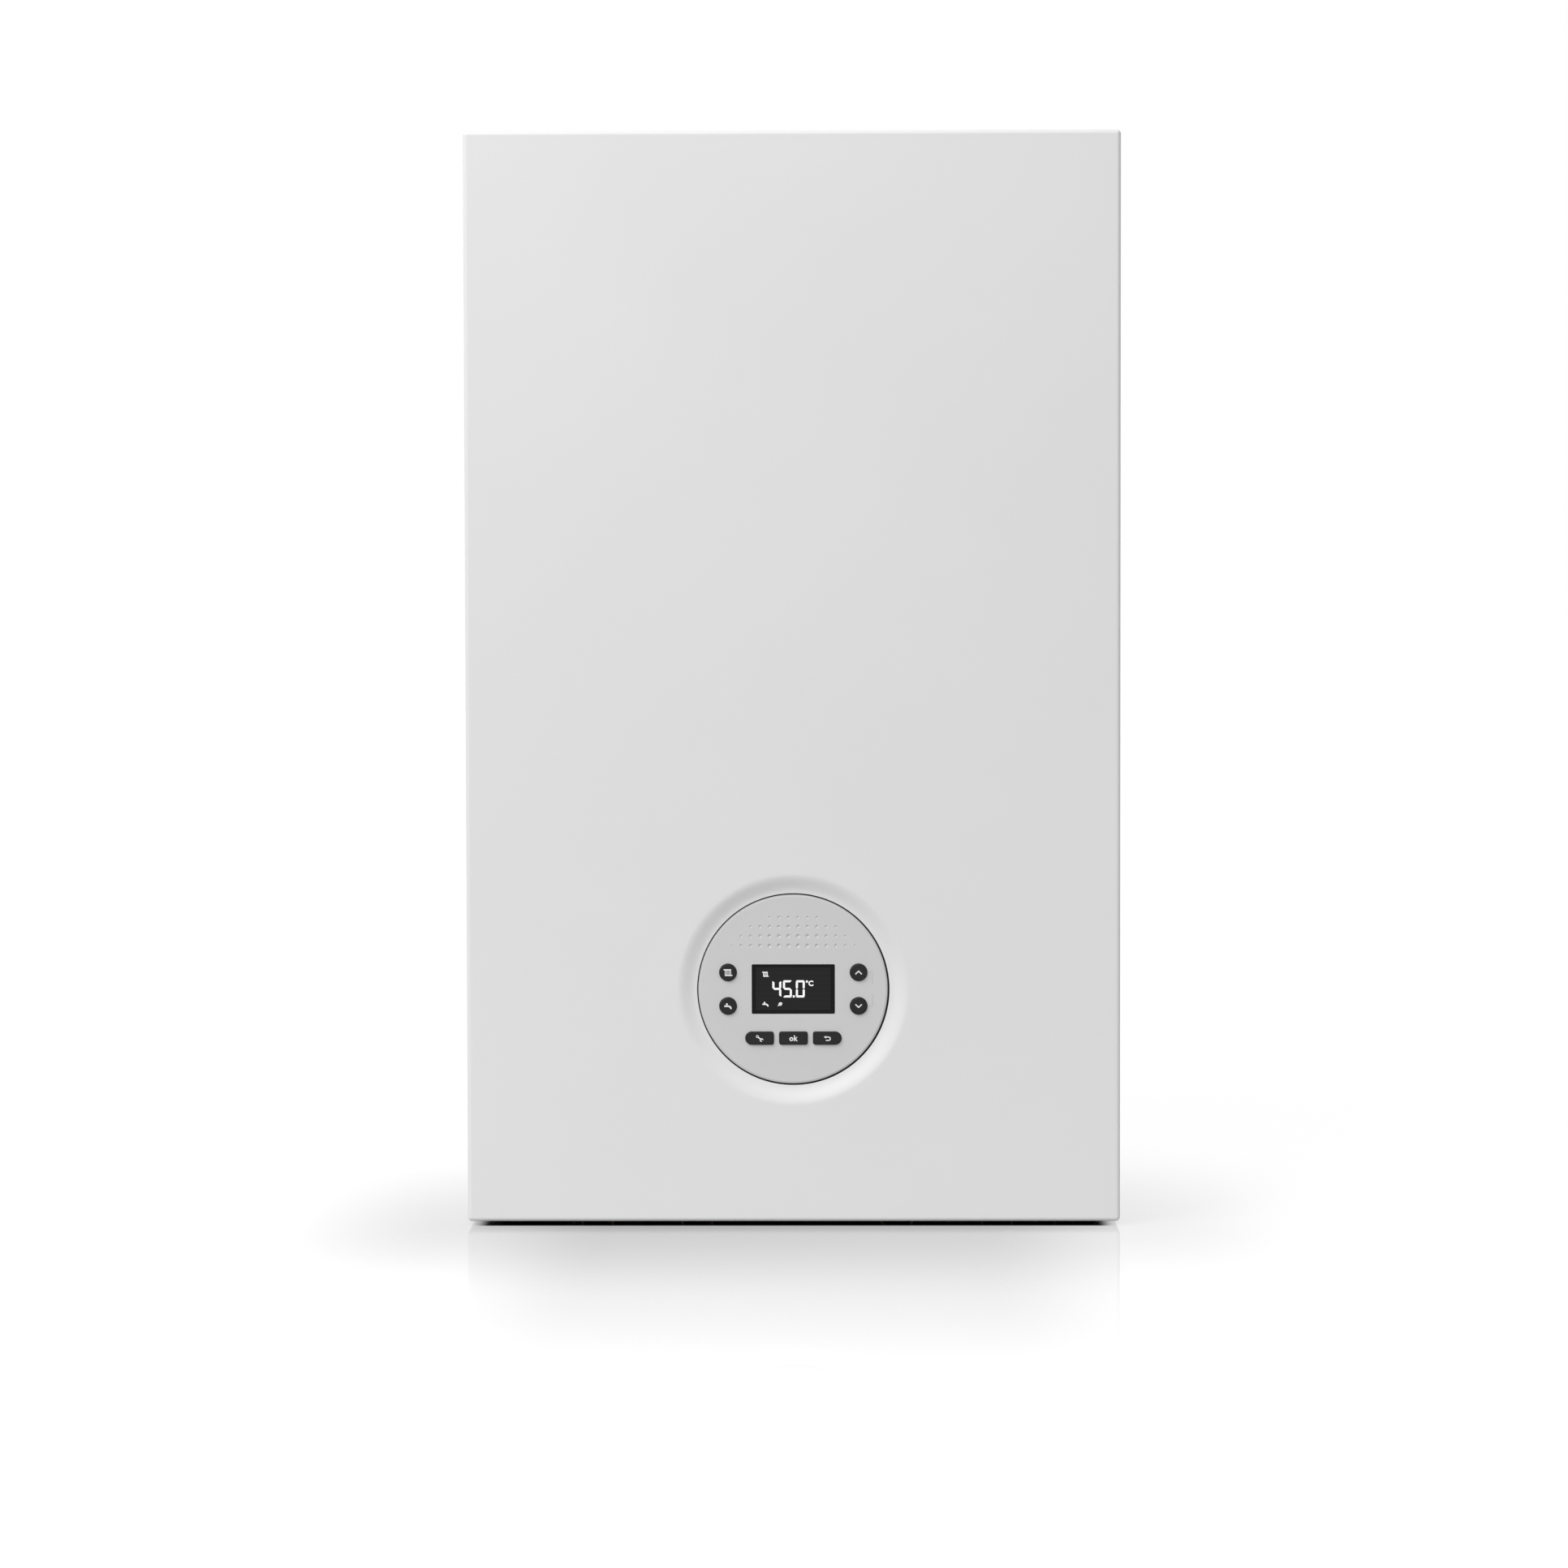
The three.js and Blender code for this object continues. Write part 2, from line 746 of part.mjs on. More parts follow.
const flueCollar = () => {
  const low = topPlateTop + seat;
  const high = low + 3;
  return turned(
    [
      [airBore, high - collarDepth - 3],
      [airBore + collarWall, high - collarDepth - 3],
      [airBore + collarWall, low],
      [collarFlange, low],
      [collarFlange, high],
      [airBore, high],
    ],
    "z",
    [0, -flueToWall, 0],
    32,
  );
};

piece("flue_duct", flueDuct(), greyPipe);
piece("flue_collar", flueCollar(), castAluminium);

// ---- fan, venturi and gas valve -----------------------------------------------------

const fanAxis = [fanSide, 0, fanHeight];

// The volute: a round casing whose spout rises to a nozzle behind the door's duct.
function fanHousing() {
  const bore = fanRadius - fanWall - 1;
  const casing = barY([fanSide, fanHeight], -fanFront, -fanBack, fanRadius, 32);
  const alongNozzle = (y) => [spoutMiddle, y, nozzleHeight];
  const spoutInner = spoutOuter + spoutWidth + fanWall;
  const spout = block(spoutOuter, spoutInner, -fanFront, -fanBack - 10, fanHeight, spoutTop);
  const nozzle = bar(alongNozzle(-fanBack - 20), alongNozzle(doorFrontY + 1 + seat), nozzleRadius, 20);
  const roundHollow = barY([fanSide, fanHeight], -fanFront + fanWall, -fanBack - fanWall, bore, 32);
  const spoutHollow = block(
    spoutOuter + fanWall + 1,
    spoutOuter + spoutWidth,
    -fanFront + fanWall,
    -fanBack - 10 - fanWall,
    fanHeight,
    spoutTop - fanWall,
  );
  const nozzleHollow = bar(alongNozzle(-fanBack - 25), alongNozzle(frontY), nozzleRadius - fanWall, 20);
  const inlet = barY([fanSide, fanHeight], -fanBack - 10, -fanBack + 10, 26, 24);
  const shaftHole = barY([fanSide, fanHeight], -fanFront - 5, -fanFront + 10, shaftRadius + slack, 12);
  return cut(join(casing, spout, nozzle), roundHollow, spoutHollow, nozzleHollow, inlet, shaftHole);
}

// A back plate with curved blades and the shaft that runs forward into the motor.
function fanImpeller() {
  const front = -fanFront + fanWall + 2;
  const back = -fanBack - fanWall - 3;
  const plate = barY([fanSide, fanHeight], front, front + 2, impellerRadius, 24);
  const hub = barY([fanSide, fanHeight], front, front + 14, 9, 12);
  const shaft = barY([fanSide, fanHeight], -fanFront - 18, front + 2, shaftRadius, 12);
  const bladeCount = 12;
  const blades = Array.from({ length: bladeCount }, (_, i) => {
    const blade = block(-1, 1, front + 1, back, 28, impellerRadius - 1.5);
    return blade
      .rotateY(0.25)
      .rotateY((2 * Math.PI * i) / bladeCount)
      .translate(fanSide, 0, fanHeight);
  });
  const ring = turned(
    [
      [30, back - 1],
      [impellerRadius, back - 1],
      [impellerRadius, back + 1],
      [30, back + 1],
    ],
    "y",
    fanAxis,
    24,
  );
  return join(plate, hub, shaft, ring, ...blades);
}

function fanMotor() {
  const back = -fanFront - seat;
  const body = turned(
    [
      [0, back],
      [fanMotorRadius, back],
      [fanMotorRadius, back - 6],
      [fanMotorRadius - 4, back - 8],
      [fanMotorRadius - 4, back - 30],
      [fanMotorRadius - 9, back - 38],
      [0, back - 38],
    ],
    "y",
    fanAxis,
    24,
  );
  const plugLow = fanHeight - fanMotorRadius - 6;
  const plug = block(fanSide - 11, fanSide + 11, back - 24, back - 10, plugLow, fanHeight - 20);
  const bore = barY([fanSide, fanHeight], back - 20, back + 5, shaftRadius + slack, 12);
  return cut(join(body, plug), bore);
}

// The mixing venturi on the fan's inlet, with the gas port on its right.
const venturiFront = -fanBack + seat;
const gasPortY = venturiFront + 22;
const gasPortEnd = fanSide + 50;

function venturi() {
  const body = turned(
    [
      [24, venturiFront],
      [36, venturiFront],
      [36, venturiFront + 4],
      [30, venturiFront + 6],
      [30, venturiFront + 38],
      [35, venturiFront + 45],
      [30, venturiFront + 45],
      [17, venturiFront + 24],
    ],
    "y",
    fanAxis,
    24,
  );
  const port = bar([fanSide + 24, gasPortY, fanHeight], [gasPortEnd, gasPortY, fanHeight], 10, 12);
  return join(body, port);
}

const valveSide = 50;
const valveLow = 300;
const valveHigh = 365;
const valveFront = -215;
const valveBack = -150;
const valveLeft = valveSide - 30;
const valvePortZ = valveLow + 30;
const valveInletY = (valveFront + valveBack) / 2;
const valveNut = 10; // length of its two union nuts
const gasBend = 240; // height at which the lower gas pipe crosses to the valve

// The gas valve: a cast block with two solenoid coils and a pressure tapping.
function gasValve() {
  const body = upright(
    roundedRectangle(valveSide, (valveLow + valveHigh) / 2, 60, valveHigh - valveLow, 6, 2),
    valveBack,
    valveBack - valveFront,
  );
  const coils = [-14, 14].map((step) =>
    block(valveSide + step - 12, valveSide + step + 12, -205, -165, valveHigh - 1, valveHigh + 30),
  );
  const regulatorAt = (y) => [valveSide, y, valvePortZ];
  const regulator = bar(regulatorAt(valveFront - 16), regulatorAt(valveFront + 1), 14, 20);
  const tappingAt = (y) => [valveSide + 20, y, valveLow + 12];
  const tapping = bar(tappingAt(valveFront - 8), tappingAt(valveFront + 1), 4, 10);
  const inletNut = barZ([valveSide, valveInletY], valveLow - valveNut, valveLow + 1, 15, 6);
  const outletAt = (x) => [x, gasPortY, valvePortZ];
  const outletNut = bar(outletAt(valveLeft - valveNut), outletAt(valveLeft + 1), 13, 6);
  return join(body, ...coils, regulator, tapping, inletNut, outletNut);
}

const gasPipeLower = () =>
  pipe(
    [
      [0, -tailToWall, tailEnd],
      [0, -tailToWall, gasBend],
      [valveSide, valveInletY, gasBend],
      [valveSide, valveInletY, valveLow - valveNut - seat],
    ],
    gasPipeRadius,
    20,
    12,
  );

const gasPipeUpper = () =>
  pipe(
    [
      [valveLeft - valveNut - seat, gasPortY, valvePortZ],
      [-20, gasPortY, valvePortZ],
      [-20, gasPortY, fanHeight],
      [gasPortEnd + seat, gasPortY, fanHeight],
    ],
    7,
    12,
  );

piece("fan_housing", fanHousing(), castAluminium);
piece("fan_impeller", fanImpeller(), darkPlastic);
piece("fan_motor", fanMotor(), darkPlastic);
piece("venturi", venturi(), darkPlastic);
piece("gas_valve", gasValve(), castAluminium);
piece("gas_pipe_lower", gasPipeLower(), copper);
piece("gas_pipe_upper", gasPipeUpper(), copper);

// ---- expansion vessel ---------------------------------------------------------------

const vesselStub = [95, -50];
const vesselStubEnd = vesselBottom - 8;

// A flat pressed vessel: two dished halves crimped together round the middle, hollow
// inside and open through the stub under it.
function expansionVessel() {
  const middle = vesselBottom + vesselHeight / 2;
  const around = 2 * (vesselDish + vesselCrimp);
  const outline = roundedRectangle(
    0,
    middle,
    vesselWidth - around,
    vesselHeight - around,
    vesselCorner - vesselDish,
  );
  const back = backFaceY - slack;
  const shell = upright(outline, back, vesselDepth, vesselDish, 3);
  const hollow = upright(
    outline,
    back - vesselWall,
    vesselDepth - 2 * vesselWall,
    vesselDish - vesselWall,
    3,
  );
  const seam = upright(
    roundedRectangle(0, middle, vesselWidth, vesselHeight, vesselCorner),
    back - vesselDepth / 2 + 3,
    6,
  );
  const stub = barZ(vesselStub, vesselStubEnd, vesselBottom + vesselCrimp + 1, 8, 12);
  const bore = barZ(vesselStub, vesselStubEnd - 5, vesselBottom + 20, 5, 12);
  return cut(join(shell, seam, stub), hollow, bore);
}

const vesselPipe = () =>
  pipe(
    [
      [...vesselStub, vesselStubEnd - seat],
      [...vesselStub, vesselBottom - 25],
      [vesselStub[0], -100, vesselBottom - 25],
      [vesselStub[0], -100, vesselBossTop + seat],
    ],
    4.5,
    12,
    8,
  );

const vesselBossTop = pumpHeight + pumpRadius + 8;

piece("expansion_vessel", expansionVessel(), redPaint);
piece("vessel_pipe", vesselPipe(), copper);

// ---- hydraulic blocks ---------------------------------------------------------------

const blockBackY = -plateFront - seat;
const blockLow = plateTop + seat;
const tail = (i) =>
  barZ([i * tailPitch, -tailToWall], tailEnd, blockLow + 10, tailRadius, 16);
const flowPortSide = -140;
const flowPortTop = 180;
const stemRadius = 3;
const stemLow = 66;
const plugRadius = 9;
const cartridgeTop = 120;

// The flow side: heating flow and hot-water tails, the diverter's cartridge and the port
// that the exchanger's flow pipe comes down to.
function flowBlock() {
  const manifold = block(-160, -47, -blockFront, blockBackY, blockLow, blockTop);
  const standing = (x, low, high, radius, sides) => barZ([x, -tailToWall], low, high, radius, sides);
  const riser = standing(flowPortSide, blockTop - 5, flowPortTop, 17, 20);
  const riserNut = standing(flowPortSide, flowPortTop - 16, flowPortTop - 2, 20, 6);
  const cartridge = standing(diverterSide, blockTop - 5, cartridgeTop, 16, 20);
  const bore = standing(diverterSide, stemLow - 6, cartridgeTop + 5, plugRadius + slack, 16);
  return cut(join(manifold, riser, riserNut, cartridge, tail(-2), tail(-1)), bore);
}

// The diverter's spindle with its double-sided plug.
function diverterStem() {
  return turned(
    [
      [0, stemLow],
      [stemRadius, stemLow],
      [stemRadius, stemLow + 18],
      [plugRadius, stemLow + 20],
      [plugRadius, stemLow + 28],
      [stemRadius, stemLow + 30],
      [stemRadius, cartridgeTop + 8],
      [0, cartridgeTop + 8],
    ],
    "z",
    [diverterSide, -tailToWall, 0],
    16,
  );
}

function diverterMotor() {
  const low = cartridgeTop + seat;
  const body = upright(
    roundedRectangle(diverterSide, low + 27, 44, 54, 5, 2),
    -tailToWall + 24,
    48,
  );
  const socket = barZ([diverterSide, -tailToWall], low - 1, low + 18, stemRadius + slack, 12);
  const plugY = -tailToWall - 32;
  const plug = block(diverterSide - 8, diverterSide + 8, plugY, plugY + 12, low + 8, low + 24);
  return cut(join(body, plug), socket);
}

const pumpFrontY = -122;
const pumpBackY = -84.5;
const pumpWall = 6; // the volute's back wall
const returnPort = [138, -103]; // where the return pipe comes down
const returnPortTop = 184;

// The return side: cold inlet and heating return tails, the pump's volute and its ports.
function returnBlock() {
  const manifold = block(47, 160, -blockFront, blockBackY, blockLow, blockTop);
  const volute = barY([pumpSide, pumpHeight], pumpFrontY, pumpBackY, pumpRadius, 28);
  const neck = block(pumpSide - 18, pumpSide + 18, pumpFrontY, pumpBackY, blockTop - 5, pumpHeight - 20);
  const port = bar([...returnPort, pumpHeight + 10], [...returnPort, returnPortTop], 14, 16);
  const portNut = bar([...returnPort, returnPortTop - 14], [...returnPort, returnPortTop - 2], 17, 6);
  const boss = bar([vesselStub[0], -100, pumpHeight + 20], [vesselStub[0], -100, vesselBossTop], 8, 12);
  const vent = turned(
    [
      [0, pumpHeight + 30],
      [9, pumpHeight + 30],
      [9, pumpHeight + 62],
      [5, pumpHeight + 66],
      [5, pumpHeight + 72],
      [0, pumpHeight + 72],
    ],
    "z",
    [pumpSide, -104, 0],
    16,
  );
  const hollowBack = pumpBackY - pumpWall;
  const hollow = barY([pumpSide, pumpHeight], pumpFrontY - 5, hollowBack, pumpImpellerRadius + 3, 28);
  return cut(join(manifold, volute, neck, port, portNut, boss, vent, tail(1), tail(2)), hollow);
}

// The circulator's motor can, with a terminal box on top of it.
function pumpMotor() {
  const back = pumpFrontY - seat;
  const front = -sideDepth + 9;
  const can = turned(
    [
      [0, back],
      [pumpRadius, back],
      [pumpRadius, back - 7],
      [pumpMotorRadius, back - 9],
      [pumpMotorRadius, front + 6],
      [pumpMotorRadius - 6, front],
      [0, front],
    ],
    "y",
    [pumpSide, 0, pumpHeight],
    28,
  );
  const terminalTop = pumpHeight + 52;
  const terminal = block(pumpSide - 22, pumpSide + 22, front + 4, back - 14, pumpHeight + 25, terminalTop);
  const bore = barY([pumpSide, pumpHeight], back - 35, back + 5, shaftRadius + slack, 12);
  return cut(join(can, terminal), bore);
}

function pumpImpeller() {
  const back = pumpBackY - pumpWall - 3;
  const front = pumpFrontY + 4;
  const discs = [front, back - 2].map((y) =>
    barY([pumpSide, pumpHeight], y, y + 2, pumpImpellerRadius, 24),
  );
  const shaft = barY([pumpSide, pumpHeight], pumpFrontY - 28, back, shaftRadius, 12);
  const vaneCount = 6;
  const vanes = Array.from({ length: vaneCount }, (_, i) =>
    block(-1.2, 1.2, front, back, 2, pumpImpellerRadius - 1)
      .rotateY((2 * Math.PI * i) / vaneCount)
      .translate(pumpSide, 0, pumpHeight),
  );
  return join(...discs, shaft, ...vanes);
}

// The brazed pack of pressed plates that heats the tap water.
function plateExchanger() {
  const pitch = (plateFront - plateBack) / plateCount;
  const low = plateBottom;
  const high = plateBottom + plateHeight;
  const comb = Array.from({ length: plateCount }, (_, i) => -plateFront + pitch * i);
  const upper = comb.flatMap((y) => [
    [y, high],
    [y + pitch * 0.55, high],
    [y + pitch * 0.6, high - 1.5],
    [y + pitch * 0.95, high - 1.5],
  ]);
  const lower = upper.map(([y, z]) => [y, low + high - z]);
  return sideways([...upper.reverse(), ...lower], -plateWidth / 2, plateWidth / 2);
}

piece("flow_block", flowBlock(), brass);
piece("return_block", returnBlock(), brass);
piece("plate_exchanger", plateExchanger(), stainless);
piece("diverter_motor", diverterMotor(), darkPlastic);
piece("diverter_stem", diverterStem(), brass);
piece("pump_motor", pumpMotor(), castAluminium);
piece("pump_impeller", pumpImpeller(), greyPlastic);

// ---- water pipes and condensate -----------------------------------------------------

const flowPipeSide = 175;
const returnPipeSide = 155;
const pipeCrossing = 250; // height at which the water pipes turn back to their ports

const flowPipe = () =>
  pipe(
    [
      [-portEnd - seat, portY, exchangerHeight + portRise],
      [-flowPipeSide, portY, exchangerHeight + portRise],
      [-flowPipeSide, portY, pipeCrossing],
      [flowPortSide, -tailToWall, pipeCrossing],
      [flowPortSide, -tailToWall, flowPortTop + seat],
    ],
    gasPipeRadius,
    20,
    12,
  );

const returnPipe = () =>
  pipe(
    [
      [...returnPort, returnPortTop + seat],
      [...returnPort, pipeCrossing + 25],
      [returnPipeSide, portY, pipeCrossing + 25],
      [returnPipeSide, portY, exchangerHeight - portRise],
      [portEnd + seat, portY, exchangerHeight - portRise],
    ],
    gasPipeRadius,
    20,
    12,
  );

const trapTop = 205;
const drainRun = drainEnd - 30; // height at which the pipe crosses to the trap's side

const condensatePipe = () =>
  pipe(
    [
      [0, drainY, drainEnd - seat],
      [0, drainY, drainRun],
      [trapSide, drainY, drainRun],
      [trapSide, drainY, trapTop + 95],
      [trapSide, -trapToWall, trapTop + 40],
      [trapSide, -trapToWall, trapTop + seat],
    ],
    8,
    16,
    10,
  );

const condensateTrap = () =>
  turned(
    [
      [0, tailEnd],
      [10, tailEnd],
      [10, blockLow],
      [16, blockLow],
      [trapRadius, blockLow + 8],
      [trapRadius, trapTop - 45],
      [trapRadius + 3, trapTop - 43],
      [trapRadius + 3, trapTop - 25],
      [10, trapTop - 10],
      [10, trapTop],
      [0, trapTop],
    ],
    "z",
    [trapSide, -trapToWall, 0],
    20,
  );

piece("flow_pipe", flowPipe(), copper);
piece("return_pipe", returnPipe(), copper);
piece("condensate_pipe", condensatePipe(), greyPipe);
piece("condensate_trap", condensateTrap(), greyPlastic);

// ---- safety valve, filling valve, gauge and gland -----------------------------------

const reliefHeight = 62;
const reliefFront = -tailToWall - 20;

function reliefValve() {
  const linkY = -tailToWall - 8;
  const linkZ = reliefHeight - 8;
  const link = block(160 + seat, reliefSide, linkY, linkY + 16, linkZ, linkZ + 16);
  const body = barY([reliefSide, reliefHeight], reliefFront, -tailToWall + 15, 11, 16);
  const outlet = barZ([reliefSide, -tailToWall + 5], tailEnd, reliefHeight, 7, 12);
  const socket = barY([reliefSide, reliefHeight], reliefFront - 5, reliefFront + 14, 4.5, 12);
  return cut(join(link, body, outlet), socket);
}

// The red cap that is turned to lift the valve off its seat.
function reliefKnob() {
  const lobes = 8;
  const outline = Array.from({ length: lobes * 3 }, (_, i) => {
    const angle = (2 * Math.PI * i) / (lobes * 3);
    const r = i % 3 === 0 ? 11 : 13;
    return [reliefSide + r * Math.cos(angle), reliefHeight + r * Math.sin(angle)];
  });
  const cap = upright(outline, reliefFront - seat, 22);
  const spindle = barY([reliefSide, reliefHeight], reliefFront - 2, reliefFront + 12, 4, 12);
  return join(cap, spindle);
}

const fillLow = 22;

// The filling valve hangs under the bottom plate by its threaded neck.
function fillingValve() {
  const body = barZ([fillSide, -fillToWall], fillLow, bottomPlateHeight - seat, 10, 16);
  const neck = barZ([fillSide, -fillToWall], fillLow + 5, plateTop + 8, 6, 12);
  const nut = barZ([fillSide, -fillToWall], plateTop + seat, plateTop + 6, 10, 6);
  const socket = barZ([fillSide, -fillToWall], fillLow - 5, fillLow + 10, 3.5, 12);
  return cut(join(body, neck, nut), socket);
}

const fillingLever = () =>
  join(
    barZ([fillSide, -fillToWall], fillLow - 9, fillLow - seat, 9, 16),
    barZ([fillSide, -fillToWall], fillLow - 1, fillLow + 8, 3, 12),
    upright(
      roundedRectangle(fillSide, fillLow - 5.5, 10, 6, 2, 2),
      -fillToWall - 4,
      34,
    ),
  );

const gaugeFace = 18; // height of the dial, which is read from below
const gaugeRim = 13;

function pressureGauge() {
  const body = turned(
    [
      [0, gaugeFace],
      [gaugeRadius - 2, gaugeFace],
      [gaugeRadius - 2, gaugeRim],
      [gaugeRadius, gaugeRim],
      [gaugeRadius, bottomPlateHeight - seat],
      [4, bottomPlateHeight - seat],
      [4, plateTop + 12],
      [0, plateTop + 12],
    ],
    "z",
    [gaugeSide, -gaugeToWall, 0],
    24,
  );
  const nut = barZ([gaugeSide, -gaugeToWall], plateTop + seat, plateTop + 5, 8, 6);
  return join(body, nut);
}

// The pointer lies just under the dial and reaches out towards the front left.
function gaugeNeedle() {
  const high = gaugeFace - seat;
  const hub = barZ([0, 0], high - 2, high, 3, 12);
  const pointer = block(-0.8, 0.8, -14, 5, high - 1.4, high - 0.4);
  return join(hub, pointer.rotateZ(-0.9)).translate([gaugeSide, -gaugeToWall, 0]);
}

// The gland for the mains cable, clamped through the bottom plate.
const cableGland = () =>
  turned(
    [
      [glandBore, bottomPlateHeight - 16],
      [9, bottomPlateHeight - 16],
      [12, bottomPlateHeight - 12],
      [12, bottomPlateHeight - seat],
      [8, bottomPlateHeight - seat],
      [8, plateTop + seat],
      [11, plateTop + seat],
      [11, plateTop + 5],
      [glandBore, plateTop + 5],
    ],
    "z",
    [glandSide, -glandToWall, 0],
    16,
  );

piece("relief_valve", reliefValve(), brass);
piece("relief_knob", reliefKnob(), redPlastic);
piece("filling_valve", fillingValve(), brass);
piece("filling_lever", fillingLever(), darkPlastic);
piece("pressure_gauge", pressureGauge(), darkPlastic);
piece("gauge_needle", gaugeNeedle(), redPlastic);
piece("cable_gland", cableGland(), darkPlastic);

// ---- control box --------------------------------------------------------------------

const boxMiddle = boxBottom + boxHeight / 2;
const boardY = boxBackY - 34; // back of the main board
const lidY = boxBackY + seat;
const displayBoardY = boxFrontY + 5; // front of the display's board
const keySlot = 2 * keyPitch + keyWidth + 4;
const roundButtons = {
  radiator_button: [-buttonSide, buttonRise],
  tap_button: [-buttonSide, -buttonRise],
  up_button: [buttonSide, buttonRise],
  down_button: [buttonSide, -buttonRise],
};
const keyZ = panelHeight - keyDrop;

const throughFront = (x, z, radius, sides = 16) =>
  barY([x, z], frontY - 5, boxFrontY + 10, radius, sides);

const slotThroughFront = (width, height, z, corner = 1) =>
  upright(roundedRectangle(0, z, width, height, corner, 1), boxFrontY + 10, boxSetBack + 15);

// The moulded tray behind the case front, open at the back, with lugs for its hinge pins.
function controlTray() {
  const half = boxWidth / 2;
  const outside = upright(
    roundedRectangle(0, boxMiddle, boxWidth, boxHeight, 5, 2),
    boxBackY,
    boxDepth,
  );
  const hollow = upright(
    roundedRectangle(0, boxMiddle, boxWidth - 2 * boxWall, boxHeight - 2 * boxWall, 3, 2),
    boxBackY + 5,
    boxDepth + 5 - boxWall,
  );
  const lugs = [-1, 1].map((s) =>
    block(
      Math.min(s * (half - 1), s * (half - lugDepth)),
      Math.max(s * (half - 1), s * (half - lugDepth)),
      boxFrontY + 1,
      hingeY + 8,
      boxBottom + 1,
      hingeZ + 8,
    ),
  );
  const onHinge = (x) => [x, hingeY, hingeZ];
  const bores = [-1, 1].map((s) =>
    bar(onHinge(s * (half - lugDepth + 2)), onHinge(s * (half + 5)), hingeRadius + seat, 16),
  );
  const boardSeat = turned(
    [
      [50, boxFrontY + 1],
      [54, boxFrontY + 1],
      [54, displayBoardY - seat],
      [50, displayBoardY - seat],
    ],
    "y",
    [0, 0, panelHeight],
    28,
  );
  return cut(
    join(cut(outside, hollow), ...lugs, boardSeat),
    ...bores,
    ...Object.values(roundButtons).map(([x, z]) =>
      throughFront(x, panelHeight + z, buttonRadius + buttonFlange + 1.1, 12),
    ),
    slotThroughFront(windowWidth + 5, windowHeight + 5, panelHeight),
    slotThroughFront(keySlot, keyHeight + 3.4, keyZ),
  );
}

// The lid on the back of the tray, with four pillars that hold the main board.
function controlLid() {
  const pillarAt = (sx, sz) => [sx * (boxWidth / 2 - 16), boxMiddle + sz * (boxHeight / 2 - 20)];
  const pillars = [-1, 1].flatMap((sx) =>
    [-1, 1].map((sz) => barY(pillarAt(sx, sz), boardY + seat, lidY + 1, 4, 10)),
  );
  const outline = roundedRectangle(0, boxMiddle, boxWidth, boxHeight, 5, 2);
  const plate = upright(outline, lidY + boxWall, boxWall);
  return join(plate, ...pillars);
}

// The main circuit board with its transformer, relays, capacitors and terminal strip.
function mainBoard() {
  const face = boardY - 1.6;
  const part = (x, z, width, height, tall) =>
    block(x - width / 2, x + width / 2, face - tall, face + 0.5, z - height / 2, z + height / 2);
  const low = boxBottom + 26;
  const relays = [0, 1, 2, 3].map((i) => part(-58 + i * 24, boxBottom + boxHeight - 30, 19, 15, 16));
  const capacitors = [40, 62].map((x) => barY([x, low + 34], face - 24, face + 0.5, 9, 14));
  const half = boxWidth / 2 - 10;
  return join(
    block(-half, half, face, boardY, boxBottom + 10, boxBottom + boxHeight - 10),
    part(-105, low + 40, 44, 38, 26),
    part(0, low, 150, 14, 12),
    part(105, low + 60, 34, 60, 10),
    ...relays,
    ...capacitors,
  );
}

// The round board behind the fascia, carrying the liquid-crystal display.
function displayBoard() {
  const disc = barY([0, panelHeight], displayBoardY, displayBoardY + 1.6, 55, 28);
  const glass = block(
    -windowWidth / 2 - 1.5,
    windowWidth / 2 + 1.5,
    fasciaBackY + 0.4,
    displayBoardY + 0.5,
    panelHeight - windowHeight / 2 - 1.5,
    panelHeight + windowHeight / 2 + 1.5,
  );
  return join(disc, glass);
}

// The outline of one of the three keys; the outer two have a half-round outer end.
function keyOutline(index, grow) {
  const small = 0.8;
  const full = keyHeight / 2 + grow - 0.01;
  const radii = {
    "-1": [small, small, full, full],
    0: [small, small, small, small],
    1: [full, full, small, small],
  }[index];
  return roundedRectangle(index * keyPitch, keyZ, keyWidth + 2 * grow, keyHeight + 2 * grow, radii);
}

function fascia() {
  const disc = turned(
    [
      [0, fasciaBackY],
      [fasciaRadius, fasciaBackY],
      [fasciaRadius, fasciaY + 0.8],
      [fasciaRadius - 0.8, fasciaY],
      [0, fasciaY],
    ],
    "y",
    [0, 0, panelHeight],
    48,
  );
  return cut(
    disc,
    ...Object.values(roundButtons).map(([x, z]) =>
      throughFront(x, panelHeight + z, buttonRadius + buttonGap),
    ),
    slotThroughFront(windowWidth, windowHeight, panelHeight),
    ...[-1, 0, 1].map((i) => upright(keyOutline(i, buttonGap), boxFrontY + 10, boxSetBack + 15)),
  );
}

const displayWindow = () =>
  upright(
    roundedRectangle(0, panelHeight, windowWidth - 2 * buttonGap, windowHeight - 2 * buttonGap, 0.8, 1),
    fasciaBackY - 0.3,
    fasciaThick - 1.8,
  );

const capFront = fasciaY - buttonProud;
const flangeFront = fasciaBackY + seat;
const stemEnd = displayBoardY - 1.3;

const roundButton = ([x, z]) =>
  turned(
    [
      [0, capFront],
      [buttonRadius - 0.8, capFront + 0.1],
      [buttonRadius, capFront + 0.8],
      [buttonRadius, flangeFront],
      [buttonRadius + buttonFlange, flangeFront],
      [buttonRadius + buttonFlange, flangeFront + 0.8],
      [2, flangeFront + 0.8],
      [2, stemEnd],
      [0, stemEnd],
    ],
    "y",
    [x, 0, panelHeight + z],
    16,
  );

